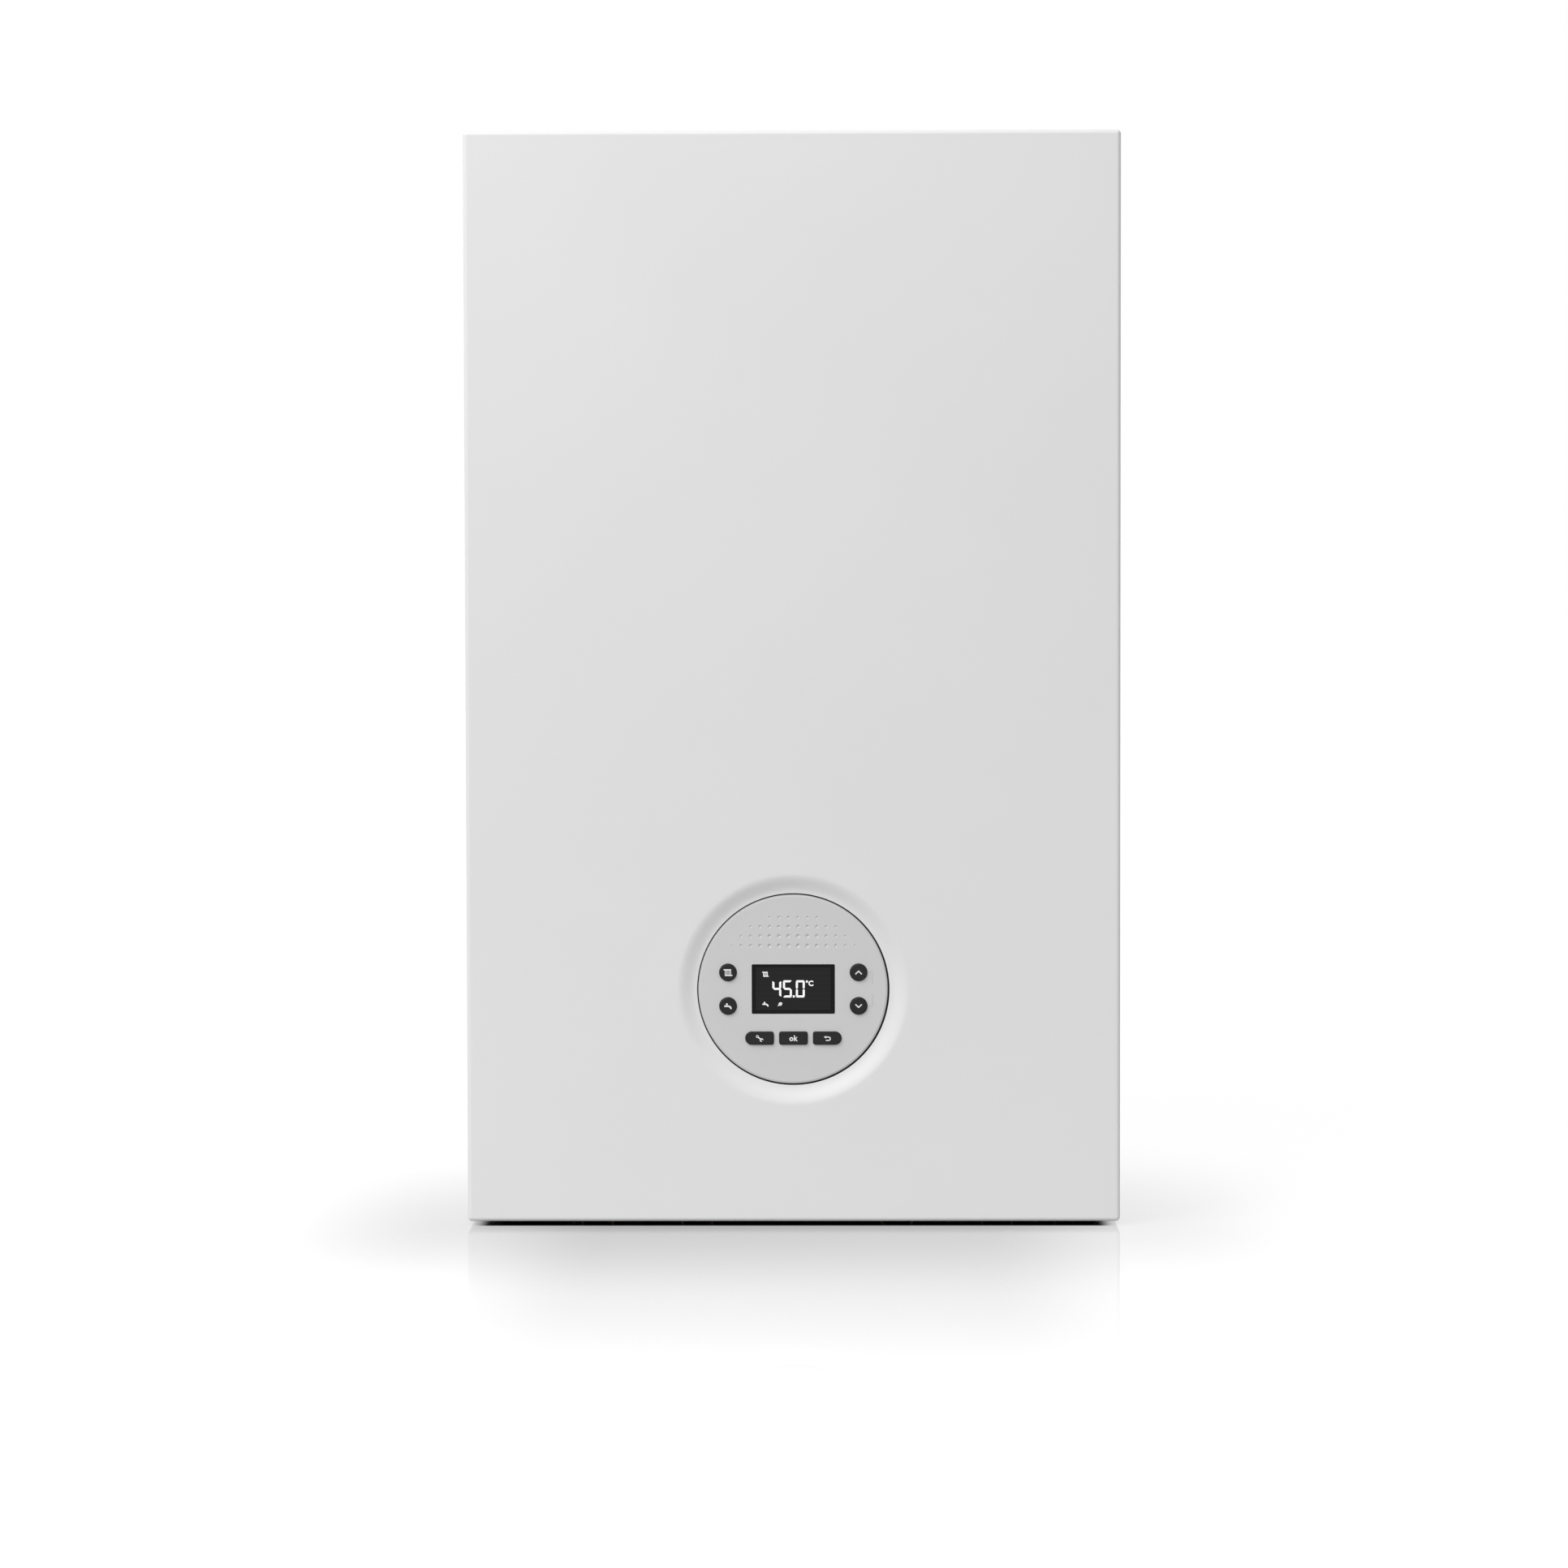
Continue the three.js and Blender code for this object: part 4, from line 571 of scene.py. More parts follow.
def litSegment():
    # a lit segment of the display: white, glowing just enough to stay white in shade
    material, tree, place, shader = startMaterial("lit display segment", "#F2F2F2", 0, 0.5)
    shader.inputs["Emission Color"].default_value = linear("#FFFFFF")
    shader.inputs["Emission Strength"].default_value = 0.25
    edge = addNode(tree, "ShaderNodeTexNoise", {"Scale": 1 / (0.8 * mm), "Detail": 1},
                   {"Vector": place})
    tint = addNode(tree, "ShaderNodeMix", {"data_type": "RGBA", 6: linear("#ECECEC"),
                                           7: linear("#F8F8F8")}, {0: edge.outputs[0]})
    tree.links.new(tint.outputs[2], shader.inputs["Base Color"])
    return material


enamel = whiteEnamel()
greyAbs = greyMoulding()
rubber = buttonRubber()
ink = padInk("white pad-printed ink", "#F4F4F4", "#F0F0F0", "#FAFAFA")
# a shade darker than the disc
faintInk = padInk("grey pad-printed ink", "#B9B9B9", "#B5B5B5", "#BDBDBD")
blackAcrylic = pianoBlack()
screen = screenGlass()
litInk = litSegment()

# outer case: one sheet, folded and drawn, with a round dished recess for the fascia
outerCase = {"half": 200, "front": -300, "back": -8, "bottom": -600, "top": 66, "sheet": 1.0,
             "corner": 2.6, "frontLip": 26, "sideLip": 13, "panelHeight": -457.5,
             "flatRadius": 72.5, "dishRim": 71.2, "dishHole": 58.9, "dishDepth": 3.4,
             "dishSteps": 18, "circleSteps": 144, "screwSide": 182, "screwPlace": -286,
             "screwRadius": 4.3, "edgeRound": 0.2}


def makeOuterCase(s):
    case = box((-s["half"], s["front"], s["bottom"]), (s["half"], s["back"], s["top"]))
    edit(case)
    bevelEdges(s["corner"], 6, lambda at, way: at.y < s["front"] + 1 or abs(way.y) > 0.9)
    pick("FACE", lambda at, way: way.y > 0.9)
    bpy.ops.mesh.delete(type="FACE")
    inside = s["half"] - s["sideLip"]
    lip = s["front"] + s["frontLip"]
    for place, way in (((inside, 0, 0), (1, 0, 0)), ((-inside, 0, 0), (1, 0, 0)),
                       ((0, lip, 0), (0, 1, 0))):
        pick("FACE", lambda at, normal: abs(normal.z) > 0.9999)
        bpy.ops.mesh.bisect(plane_co=[p * mm for p in place], plane_no=way)
    pick("FACE", lambda at, way: abs(way.z) > 0.9999 and abs(at.x) < inside and at.y > lip)
    bpy.ops.mesh.delete(type="FACE")
    # the front is opened and filled again round a circle, which is then drawn inwards
    pick("FACE", lambda at, way: way.y < -0.9999)
    bpy.ops.mesh.delete(type="ONLY_FACE")
    bpy.ops.mesh.primitive_circle_add(
        vertices=s["circleSteps"], radius=s["flatRadius"] * mm, rotation=(turn / 4, 0, 0),
        location=(0, s["front"] * mm, s["panelHeight"] * mm))
    pick("EDGE", lambda at, way: at.y < s["front"] + 0.01)
    bpy.ops.mesh.fill()
    fromCentre = lambda at: math.hypot(at.x, at.z - s["panelHeight"])
    pick("EDGE", lambda at, way: at.y < s["front"] + 0.01
         and abs(fromCentre(at) - s["flatRadius"]) < 0.2
         and abs(way.x * at.x + way.z * (at.z - s["panelHeight"])) < 2)
    radius, depth = s["flatRadius"], 0
    for step in range(s["dishSteps"] + 1):
        share = step / s["dishSteps"]
        nextRadius = s["dishRim"] + (s["dishHole"] - s["dishRim"]) * share
        nextDepth = s["dishDepth"] * (1 - math.cos(math.pi * share)) / 2
        bpy.ops.mesh.extrude_edges_move(
            TRANSFORM_OT_translate={"value": (0, (nextDepth - depth) * mm, 0)})
        scale = nextRadius / radius
        bpy.ops.transform.resize(value=(scale, 1, scale),
                                 center_override=(0, 0, s["panelHeight"] * mm))
        radius, depth = nextRadius, nextDepth
    bpy.ops.mesh.select_all(action="SELECT")
    bpy.ops.mesh.remove_doubles(threshold=0.001 * mm)
    bpy.ops.mesh.normals_make_consistent(inside=False)
    leave()
    # the sheet's thickness has to grow inwards, so its faces must look out
    widest = max(case.data.polygons, key=lambda face: abs(face.normal.x) * face.area)
    if widest.normal.x * widest.center.x < 0:
        case.data.flip_normals()
    applied(case, "SOLIDIFY", thickness=s["sheet"] * mm, offset=-1, use_even_offset=True)
    hole = rod((0, 0, 0), "z", s["screwRadius"], 8, 32)
    cutBy(case, stamped(hole, [(side * s["screwSide"], s["screwPlace"], s["bottom"])
                               for side in (-1, 1)]))
    soften(case, s["edgeRound"], 2, 60)
    finished("case_shell", case, "case", enamel, ["outer_case"], angle=35)


makeOuterCase(outerCase)
print("outer case made")


def roundedSlot(x, z, width, height, left, right, front, back):
    # an upright block whose left and right corners are rounded, each side with its own radius
    piece = box((x - width / 2, front, z - height / 2), (x + width / 2, back, z + height / 2))
    edit(piece)
    for radius, side in ((left, -1), (right, 1)):
        bevelEdges(min(radius, height / 2 - 0.02), 10 if radius > 2 else 4,
                   lambda at, way: abs(way.y) > 0.9 and side * (at.x - x) > width / 2 - 0.01)
    leave()
    return piece


# fascia: grey disc with a field of dimples, the window and the button holes
fascia = {"centre": -457.5, "radius": 58.1, "shift": (-0.25, 0.1), "front": -296, "back": -291.3,
          "rim": 0.35, "slopeWidth": 0.9, "slope": 0.36, "holeRadius": 5.45, "buttonSide": 40,
          "buttonRise": 10.3,
          "window": (51, 30.6), "windowCorner": 0.8, "keySize": (17, 7.6), "keyPitch": 20.75,
          "keyDrop": 30.1, "gap": 0.3, "keyCorner": 1.4, "keyEnd": 4,
          "dimplePitch": 5.8, "dimpleRows": ((6, 44.1), (10, 38.4), (12, 32.6), (14, 26.7)),
          "dimpleWide": (1.25, 2.5), "dimpleFade": 1.2, "dimpleField": (38, 21, 27),
          "dimpleBall": 0.58, "dimpleSunk": 0.45, "holeRound": 0.12,
          "tickSide": (46.2, 48.5), "tickRise": 10.45, "tickEnds": {-1: -2.5, 1: 3.3},
          "tickHalf": 0.12}
roundPlaces = {"radiator_button": (-1, 1), "tap_button": (-1, -1), "up_button": (1, 1),
               "down_button": (1, -1)}
keyNames = {"service_button": -1, "ok_button": 0, "back_button": 1}


def makeFascia(s):
    rise = s["front"] + s["slope"]
    disc = rod((s["shift"][0], (rise + s["back"]) / 2, s["centre"] + s["shift"][1]), "y",
               s["radius"], s["back"] - rise, 192)
    edit(disc)
    # a 45 degree rim and a shallow slope inside it, which catch a fine line of light
    bevelEdges(s["rim"], 1, lambda at, way: at.y < rise + 0.1)
    pick("FACE", lambda at, way: way.y < -0.99)
    bpy.ops.mesh.inset(thickness=s["slopeWidth"] * mm, depth=s["slope"] * mm)
    bevelEdges(0.1, 2, lambda at, way: abs(way.y) < 0.1 and at.y < rise + s["rim"] + 0.1)
    leave()
    front, back = s["front"] - 3, s["back"] + 3
    cutters = stamped(rod((0, 0, 0), "y", s["holeRadius"], 20, 64), [
        (x * s["buttonSide"], front, s["centre"] + z * s["buttonRise"])
        for x, z in roundPlaces.values()])
    cutters.append(roundedSlot(0, s["centre"], *s["window"], s["windowCorner"],
                               s["windowCorner"], front, back))
    width, height = s["keySize"]
    for i in keyNames.values():
        left = s["keyEnd"] if i < 0 else s["keyCorner"]
        right = s["keyEnd"] if i > 0 else s["keyCorner"]
        cutters.append(roundedSlot(i * s["keyPitch"], s["centre"] - s["keyDrop"],
                                   width + 2 * s["gap"], height + 2 * s["gap"],
                                   left, right, front, back))
    cutBy(disc, [joined(cutters)])
    # the dimples grow smaller from the middle of the lowest row outwards and upwards
    deselect()
    bpy.ops.mesh.primitive_uv_sphere_add(segments=24, ring_count=16, radius=mm)
    ball, places, sizes = bpy.context.active_object, [], []
    least, most = s["dimpleWide"]
    across, high, lowest = s["dimpleField"]
    for count, up in s["dimpleRows"]:
        for k in range(count):
            x = (k - (count - 1) / 2) * s["dimplePitch"]
            away = (x / across) ** 2 + ((up - lowest) / high) ** 2
            size = max(least, most - s["dimpleFade"] * away) * s["dimpleBall"]
            sizes.append(size)
            places.append((x, s["front"] - size * s["dimpleSunk"], s["centre"] + up))
    cutBy(disc, [joined(stamped(ball, places, scales=sizes))])
    soften(disc, s["holeRound"], 2, 50)
    finished("fascia_disc", disc, "control_box", greyAbs, ["fascia"], angle=30)
    # thin raised brackets beside the up and down buttons
    near, far = s["tickSide"]
    half = s["tickHalf"]
    for side, end in s["tickEnds"].items():
        level = side * s["tickRise"]
        tick = [[near, level - half], [far + half, level - half], [far + half, level + half],
                [near, level + half]]
        post = [[far - half, end], [far + half, end], [far + half, level], [far - half, level]]
        lines = joined([shape([o], 0.1, s["front"] - 0.06, (0, s["centre"])) for o in (tick, post)])
        finished("upper_bracket_line" if side > 0 else "lower_bracket_line", lines,
                 "control_box", faintInk)


makeFascia(fascia)
print("fascia made")


# symbols, as outlines of [x, z] points in millimetres round their own middle

def ring(x, z, radius, steps=24):
    return [[x + radius * math.cos(turn * k / steps), z + radius * math.sin(turn * k / steps)]
            for k in range(steps)]


def arc(x, z, radius, start, end, steps=10):
    angles = [math.radians(start + (end - start) * k / steps) for k in range(steps + 1)]
    return [[x + radius * math.cos(a), z + radius * math.sin(a)] for a in angles]


radiatorSign = [[[-2.75, 2.1], [1.9, 2.1], [1.9, -1.4], [2.75, -1.4], [2.75, -2.1], [-1.9, -2.1],
                 [-1.9, 1.4], [-2.75, 1.4]]] + [
    [[x - 0.2, -1.35], [x + 0.2, -1.35], [x + 0.2, 1.35], [x - 0.2, 1.35]]
    for x in (-1.14, -0.38, 0.38, 1.14)]
tapSign = [ring(-0.75, 1.15, 0.62),
           [[-2.3, 0.45], [0.1, 0.45], [0.9, 0.3], [1.6, -0.1], [2.1, -0.7], [2.3, -1.75],
            [1.35, -1.75], [1.15, -1.15], [0.7, -0.7], [0.1, -0.5], [-2.3, -0.5]]]
okSign = [ring(-1.25, -0.5, 1.25), ring(-1.25, -0.5, 0.55),
          [[0.3, -1.75], [0.3, 1.85], [1.0, 1.85], [1.0, 0.0], [1.7, 0.75], [2.55, 0.75],
           [1.6, -0.3], [2.65, -1.75], [1.85, -1.75], [1.15, -0.75], [1.0, -0.9], [1.0, -1.75]]]
upSign = [[[-2.2, -0.8], [0, 1.3], [2.2, -0.8], [1.72, -1.3], [0, 0.33], [-1.72, -1.3]]]
downSign = [[[x, -z] for x, z in upSign[0]]]
backSign = [[[-2.15, 0.75], [-0.75, 1.6], [-0.75, 1.08]] + arc(0.85, -0.26, 1.34, 90, -90)
            + [[-0.9, -1.6], [-0.9, -0.95]] + arc(0.85, -0.26, 0.69, -90, 90)
            + [[-0.75, 0.43], [-0.75, -0.1]]]


def leaning(outlines, angle):  # turns outlines about their middle, by degrees
    c, n = math.cos(math.radians(angle)), math.sin(math.radians(angle))
    return [[[x * c - z * n, x * n + z * c] for x, z in outline] for outline in outlines]


# a combination spanner: open jaw at one end, ring at the other
spannerSign = leaning([arc(-1.6, 0, 1.1, 20, 156, 10) + [[-1.5, 0.42], [-1.2, 0], [-1.5, -0.42]]
                       + arc(-1.6, 0, 1.1, 204, 340, 10) + arc(1.7, 0, 0.85, -155, 155, 18),
                       ring(1.7, 0, 0.4)], 140)
# a leaf in two halves with its midrib left open, and its stalk
leafSign = leaning([[[-1.3 + 2.9 * k / 12,
                      side * (0.09 + 0.95 * math.sin(math.pi * (k / 12) ** 0.8))]
                     for k in range(13)] for side in (-1, 1)]
                   + [[[-2.1, -0.12], [-1.2, -0.12], [-1.2, 0.12], [-2.1, 0.12]]], 35)


def scaled(outlines, share):
    return [[[x * share, z * share] for x, z in outline] for outline in outlines]


# push buttons: a lacquered rubber cap with a rounded shoulder and a shallow inset face
button = {"radius": 5.15, "front": -297.5, "back": -287.3, "flangeRadius": 6.35,
          "flange": -291.0, "flangeThick": 0.8, "stem": 2.0, "shoulder": 0.7, "ringWidth": 0.55,
          "ringSlope": 0.12, "ringDepth": 0.16, "inkThick": 0.06, "inkSunk": 0.04}
keyShape = {**button, "shoulder": 0.45, "ringWidth": 0.5, "corner": 1.2, "roundEnd": 3.7,
            "keyFlange": 0.8}


def faceDetail(s, front):  # in edit mode: round the front edge, then set the face in a little
    bevelEdges(s["shoulder"], 5, lambda at, way: at.y < front + 0.05)
    pick("FACE", lambda at, way: way.y < -0.99 and at.y < front + 0.05)
    bpy.ops.mesh.inset(thickness=s["ringWidth"] * mm, depth=0)
    bpy.ops.mesh.inset(thickness=s["ringSlope"] * mm, depth=-s["ringDepth"] * mm)


def makeRoundButtons(signs, s):
    cap = rod((0, (s["front"] + s["flange"]) / 2, 0), "y", s["radius"],
              s["flange"] - s["front"], 72)
    edit(cap)
    faceDetail(s, s["front"])
    # the flange and the stem behind the cap
    pick("FACE", lambda at, way: way.y > 0.99)
    grow = s["flangeRadius"] - s["radius"]
    bpy.ops.mesh.inset(thickness=0, depth=0)
    bpy.ops.transform.resize(value=[1 + grow / s["radius"]] * 3,
                             center_override=(0, s["flange"] * mm, 0))
    bpy.ops.mesh.extrude_region_move(
        TRANSFORM_OT_translate={"value": (0, s["flangeThick"] * mm, 0)})
    bpy.ops.mesh.inset(thickness=(s["flangeRadius"] - s["stem"]) * mm, depth=0)
    bpy.ops.mesh.extrude_region_move(
        TRANSFORM_OT_translate={"value": (0, (s["back"] - s["flange"] - s["flangeThick"]) * mm, 0)})
    leave()
    places = [(x * fascia["buttonSide"], 0, fascia["centre"] + z * fascia["buttonRise"])
              for x, z in roundPlaces.values()]
    for name, place, copy in zip(roundPlaces, places, stamped(cap, places)):
        finished(name + "_cap", copy, name, rubber, [name])
        printSign(name, signs[name], (place[0], place[2]), s)


def printSign(name, sign, middle, s):  # a sign in white ink on the inset face of a button
    mark = shape(sign, s["inkThick"] + s["inkSunk"], s["front"] + s["ringDepth"] - s["inkThick"],
                 middle)
    finished(name + "_sign", mark, name, ink)


def makeKey(name, index, s):
    x, z = index * fascia["keyPitch"], fascia["centre"] - fascia["keyDrop"]
    width, height = fascia["keySize"]
    left = s["roundEnd"] if index < 0 else s["corner"]
    right = s["roundEnd"] if index > 0 else s["corner"]
    cap = roundedSlot(x, z, width, height, left, right, s["front"], s["flange"])
    edit(cap)
    faceDetail(s, s["front"])
    leave()
    rear, grow = s["flange"] + s["flangeThick"], 2 * s["keyFlange"]
    flange = roundedSlot(x, z, width + grow, height + grow, 1, 1, s["flange"] + 0.01, rear)
    stem = rod((x, (rear + s["back"]) / 2, z), "y", s["stem"], s["back"] - rear, 24)
    finished(name + "_cap", joined([cap, soften(flange, 0.15, 2), stem]), name,
             rubber, [name])
    printSign(name, (spannerSign, okSign, backSign)[index + 1], (x, z), s)


def words(text, size, face, middle, thick, heavy=0.0):  # upright lettering, centred
    deselect()
    bpy.ops.object.text_add()
    lettering = bpy.context.active_object
    lettering.data.body = text
    lettering.data.align_x = "CENTER"
    lettering.data.align_y = "CENTER"
    lettering.data.size = size * mm
    lettering.data.offset = heavy * mm * size
    lettering.data.extrude = thick / 2 * mm
    lettering.data.resolution_u = 6
    return standUp(lettering, thick, face, middle)


makeRoundButtons({"radiator_button": radiatorSign, "tap_button": tapSign, "up_button": upSign,
                  "down_button": downSign}, button)
for name, index in keyNames.items():
    makeKey(name, index, keyShape)
print("buttons made")

# display: black border with a dark screen set behind it, and its lit segments
display = {"width": 50.4, "height": 30.0, "front": -294.5, "back": -291.6, "left": 1.8,
           "right": 2.2, "edge": 1.6, "sunk": 0.9, "digitHeight": 10.6, "digitWidth": 5.5,
           "stroke": 1.3, "digitCut": 0.55, "digits": {"4": -12.9, "5": -6.4, "0": 1.5},
           "digitLow": -5.3, "point": (-0.4, 1.3), "degrees": (9.9, 3.2, 4.4), "corner": 0.7,
           "glassGap": 0.02, "litThick": 0.06, "litSunk": 0.34,
           "icons": ((radiatorSign, 0.72, -17.1, 9.0), (tapSign, 0.82, -17.1, -9.4),
                     (leafSign, 0.95, -8.0, -9.3))}
segments = {"4": "fgbc", "5": "afgcd", "0": "abcdef"}


def digitOutlines(which, x, low, s):
    w, h, t, cut = s["digitWidth"], s["digitHeight"], s["stroke"], s["digitCut"]
    top = [[cut, h], [w - cut, h], [w - 0.2, h - 0.35], [w - t, h - t], [t, h - t],
           [0.2, h - 0.35]]
    upper = [[0, h - cut - 0.3], [0.15, h - cut], [t, h - t], [t, h / 2 + t / 2],
             [t / 2, h / 2], [0, h / 2 + t / 2]]
    middle = [[t / 2, h / 2], [t, h / 2 + t / 2], [w - t, h / 2 + t / 2],
              [w - t / 2, h / 2], [w - t, h / 2 - t / 2], [t, h / 2 - t / 2]]
    flipX = lambda outline: [[w - a, b] for a, b in outline]
    flipZ = lambda outline: [[a, h - b] for a, b in outline]
    parts = {"a": top, "d": flipZ(top), "f": upper, "b": flipX(upper), "e": flipZ(upper),
             "c": flipX(flipZ(upper)), "g": middle}
    return [[[x + a, low + b] for a, b in parts[name]] for name in segments[which]]


def makeDisplay(s):
    half, up = s["width"] / 2, s["height"] / 2
    centre = fascia["centre"]
    frameBlock = roundedSlot(0, centre, s["width"], s["height"], s["corner"], s["corner"],
                             s["front"], s["back"])
    edit(frameBlock)
    bevelEdges(0.25, 2, lambda at, way: at.y < s["front"] + 0.05)
    leave()
    left, right = -half + s["left"], half - s["right"]
    low, high = centre - up + s["edge"], centre + up - s["edge"]
    hollow = box((left, s["front"] - 1, low), (right, s["front"] + s["sunk"], high))
    cutBy(frameBlock, [hollow])
    soften(frameBlock, 0.08, 2, 60)
    finished("display_border", frameBlock, "control_box", blackAcrylic,
             ["display_window"])
    gap = s["glassGap"]
    glass = box((left + gap, s["front"] + s["sunk"] - 0.3, low + gap),
                (right - gap, s["front"] + s["sunk"] - gap, high - gap))
    edit(glass)
    bevelEdges(0.06, 2, lambda at, way: at.y < s["front"] + s["sunk"] - 0.25)
    leave()
    finished("display_screen", glass, "control_box", screen)
    face, thick = s["front"] + s["sunk"] - s["litSunk"], s["litThick"]
    marks = []
    for which, x in s["digits"].items():
        for outline in digitOutlines(which, x, s["digitLow"], s):
            marks.append(shape([outline], thick, face, (0, centre)))
    start, low = s["point"][0], s["digitLow"]
    end, high = start + s["point"][1], low + s["point"][1]
    marks.append(shape([[[start, low], [end, low], [end, high], [start, high]]], thick, face,
                       (0, centre)))
    x, z, size = s["degrees"]
    marks.append(words("°C", size, face, (x, centre + z), thick, 0.035))
    for sign, share, x, z in s["icons"]:
        marks.append(shape(scaled(sign, share), thick, face, (x, centre + z)))
    finished("display_segments", joined(marks), "control_box", litInk)


makeDisplay(display)
print("display made")

# finishes of the works behind the case

def patterned(name, colours, metallic, roughness, grain, bumpHeight, bumpStrength, stretch=(1, 1, 1),
              detail=3.0):
    # a finish whose tint, gloss and relief follow one noise; colours are its two tints,
    # roughness its two limits, grain and bumpHeight real sizes in millimetres
    material, tree, place, shader = startMaterial(name, colours[0], metallic, roughness[0])
    laid = addNode(tree, "ShaderNodeMapping", {"Scale": stretch}, {"Vector": place})
    noise = addNode(tree, "ShaderNodeTexNoise", {"Scale": 1 / (grain * mm), "Detail": detail},
                    {"Vector": laid.outputs[0]})
    tint = addNode(tree, "ShaderNodeMix", {"data_type": "RGBA", 6: linear(colours[0]),
                                           7: linear(colours[1])}, {0: noise.outputs[0]})
    gloss = addNode(tree, "ShaderNodeMapRange", {
        "From Min": 0.3, "From Max": 0.7, "To Min": roughness[0], "To Max": roughness[1]},
        {"Value": noise.outputs[0]})
    bump = addNode(tree, "ShaderNodeBump", {"Strength": bumpStrength,
                                            "Distance": bumpHeight * mm},
                   {"Height": noise.outputs[0]})
    tree.links.new(tint.outputs[2], shader.inputs["Base Color"])
    tree.links.new(gloss.outputs[0], shader.inputs["Roughness"])
    tree.links.new(bump.outputs[0], shader.inputs["Normal"])
    return material


def galvanised():
    # hot-dip galvanised sheet: bluish grey, frosted in crystals some 8 mm across
    material, tree, place, shader = startMaterial("hot-dip galvanised sheet", "#B4B9BC", 1, 0.42)
    crystals = addNode(tree, "ShaderNodeTexVoronoi", {"Scale": 1 / (8 * mm)}, {"Vector": place})
    crystal = addNode(tree, "ShaderNodeSeparateColor", {}, {0: crystals.outputs["Color"]})
    tint = addNode(tree, "ShaderNodeMix", {"data_type": "RGBA", 6: linear("#AEB3B6"),
                                           7: linear("#BCC0C3")}, {0: crystal.outputs[0]})
    gloss = addNode(tree, "ShaderNodeMapRange", {"To Min": 0.34, "To Max": 0.52},
                    {"Value": crystal.outputs[1]})
    tree.links.new(tint.outputs[2], shader.inputs["Base Color"])
    tree.links.new(gloss.outputs[0], shader.inputs["Roughness"])
    return material


zinc = galvanised()
# deep-drawn stainless: cool silver, evenly satin, with a faint cloudiness some 60 mm across
stainless = patterned("drawn stainless steel", ("#C6C7C7", "#CDCDCC"), 1, (0.24, 0.32), 60, 0.02,
                      0.05, detail=4)
# pressure die-cast aluminium, shot-blasted: dull grey, grain about 0.8 mm
castAlloy = patterned("shot-blasted cast aluminium", ("#A3A6A8", "#BDC0C1"), 1, (0.45, 0.62), 0.8,
                      0.06, 0.5)
# drawn copper tube: salmon pink, handled spots gone browner over some 30 mm
copper = patterned("drawn copper tube", ("#B66C4A", "#D2916F"), 1, (0.22, 0.42), 30, 0.01, 0.05,
                   detail=6)
# hot-pressed brass, shot-blasted: pale yellow with a satin grain of 0.6 mm
brass = patterned("hot-pressed brass", ("#B4934F", "#CDB072"), 1, (0.3, 0.45), 0.6, 0.04, 0.4)
# epoxy paint on the pressed vessel: gloss red with an orange peel of 3 mm
redPaint = patterned("red epoxy paint on steel", ("#A6241D", "#AF2820"), 0, (0.28, 0.34), 3, 0.03,
                     0.1, detail=1)
# extruded polypropylene pipe: mid grey, waxy, drawn lines along its length
greyPipe = patterned("grey polypropylene pipe", ("#868B8E", "#969B9E"), 0, (0.38, 0.5), 1.2, 0.02,
                     0.2)
# glass-filled nylon moulding: charcoal, the fibres show as a 0.5 mm mottle
nylon = patterned("glass-filled nylon", ("#242527", "#34363A"), 0, (0.42, 0.6), 0.5, 0.03, 0.3)
# light grey nylon for caps and the trap
paleNylon = patterned("light grey nylon", ("#B9BBBC", "#CACCCD"), 0, (0.4, 0.52), 0.6, 0.02, 0.2)
# pressed ceramic fibre and fired ceramic: chalky, off-white, no sheen
fibre = patterned("pressed ceramic fibre", ("#DDD7CA", "#EFEAE0"), 0, (0.85, 0.98), 1.0, 0.1, 0.6)
ceramic = patterned("fired white ceramic", ("#E9E6DF", "#F4F2EC"), 0, (0.25, 0.4), 2, 0.02, 0.1)
# bright zinc-plated screws and nuts
plated = patterned("bright zinc-plated steel", ("#B9BDC2", "#D8DBDF"), 1, (0.18, 0.34), 2, 0.01,
                   0.1)
# moulded acetal caps in signal red
redCap = patterned("red acetal moulding", ("#B1221B", "#C12C24"), 0, (0.32, 0.44), 0.6, 0.02, 0.2)
# glass-fibre board under a green solder mask: tracks show as a lighter 2 mm lattice
solderMask = patterned("green solder mask on board", ("#1F5A38", "#3B8257"), 0, (0.25, 0.4), 2.5,
                       0.03, 0.3, (1, 1, 6), 0)
# black epoxy cast round the valve's coils
potting = patterned("black casting epoxy", ("#161617", "#212122"), 0, (0.3, 0.45), 1.5, 0.02, 0.2)
# white enamelled dial
dialWhite = patterned("white enamelled dial", ("#ECECE8", "#F6F6F3"), 0, (0.4, 0.5), 2, 0.01, 0.05)


def painted(material, *pieces):
    for piece in pieces:
        paint(piece, material)
    return list(pieces)


def nut(centre, axis, radius, length):  # hexagon with chamfered ends
    return soften(rod(centre, axis, radius, length, 6), min(1.2, length / 5), 2, 50)


def screwHead(at, axis, radius, high):  # cylinder head with a recess; looks to +x, -y or +z
    head = rod(at, axis, radius, high, 16)
    way = {"x": Vector((1, 0, 0)), "y": Vector((0, -1, 0)), "z": Vector((0, 0, 1))}[axis]
    edit(head)
    bevelEdges(radius * 0.25, 3, lambda spot, along: abs(along.dot(way)) < 0.1
               and (spot - Vector(at)).dot(way) > high * 0.4)
    pick("FACE", lambda spot, normal: normal.dot(way) > 0.99)
    bpy.ops.mesh.inset(thickness=radius * 0.3 * mm, depth=0)
    bpy.ops.mesh.inset(thickness=0.05 * mm, depth=-high * 0.6 * mm)
    leave()
    return paint(head, plated)


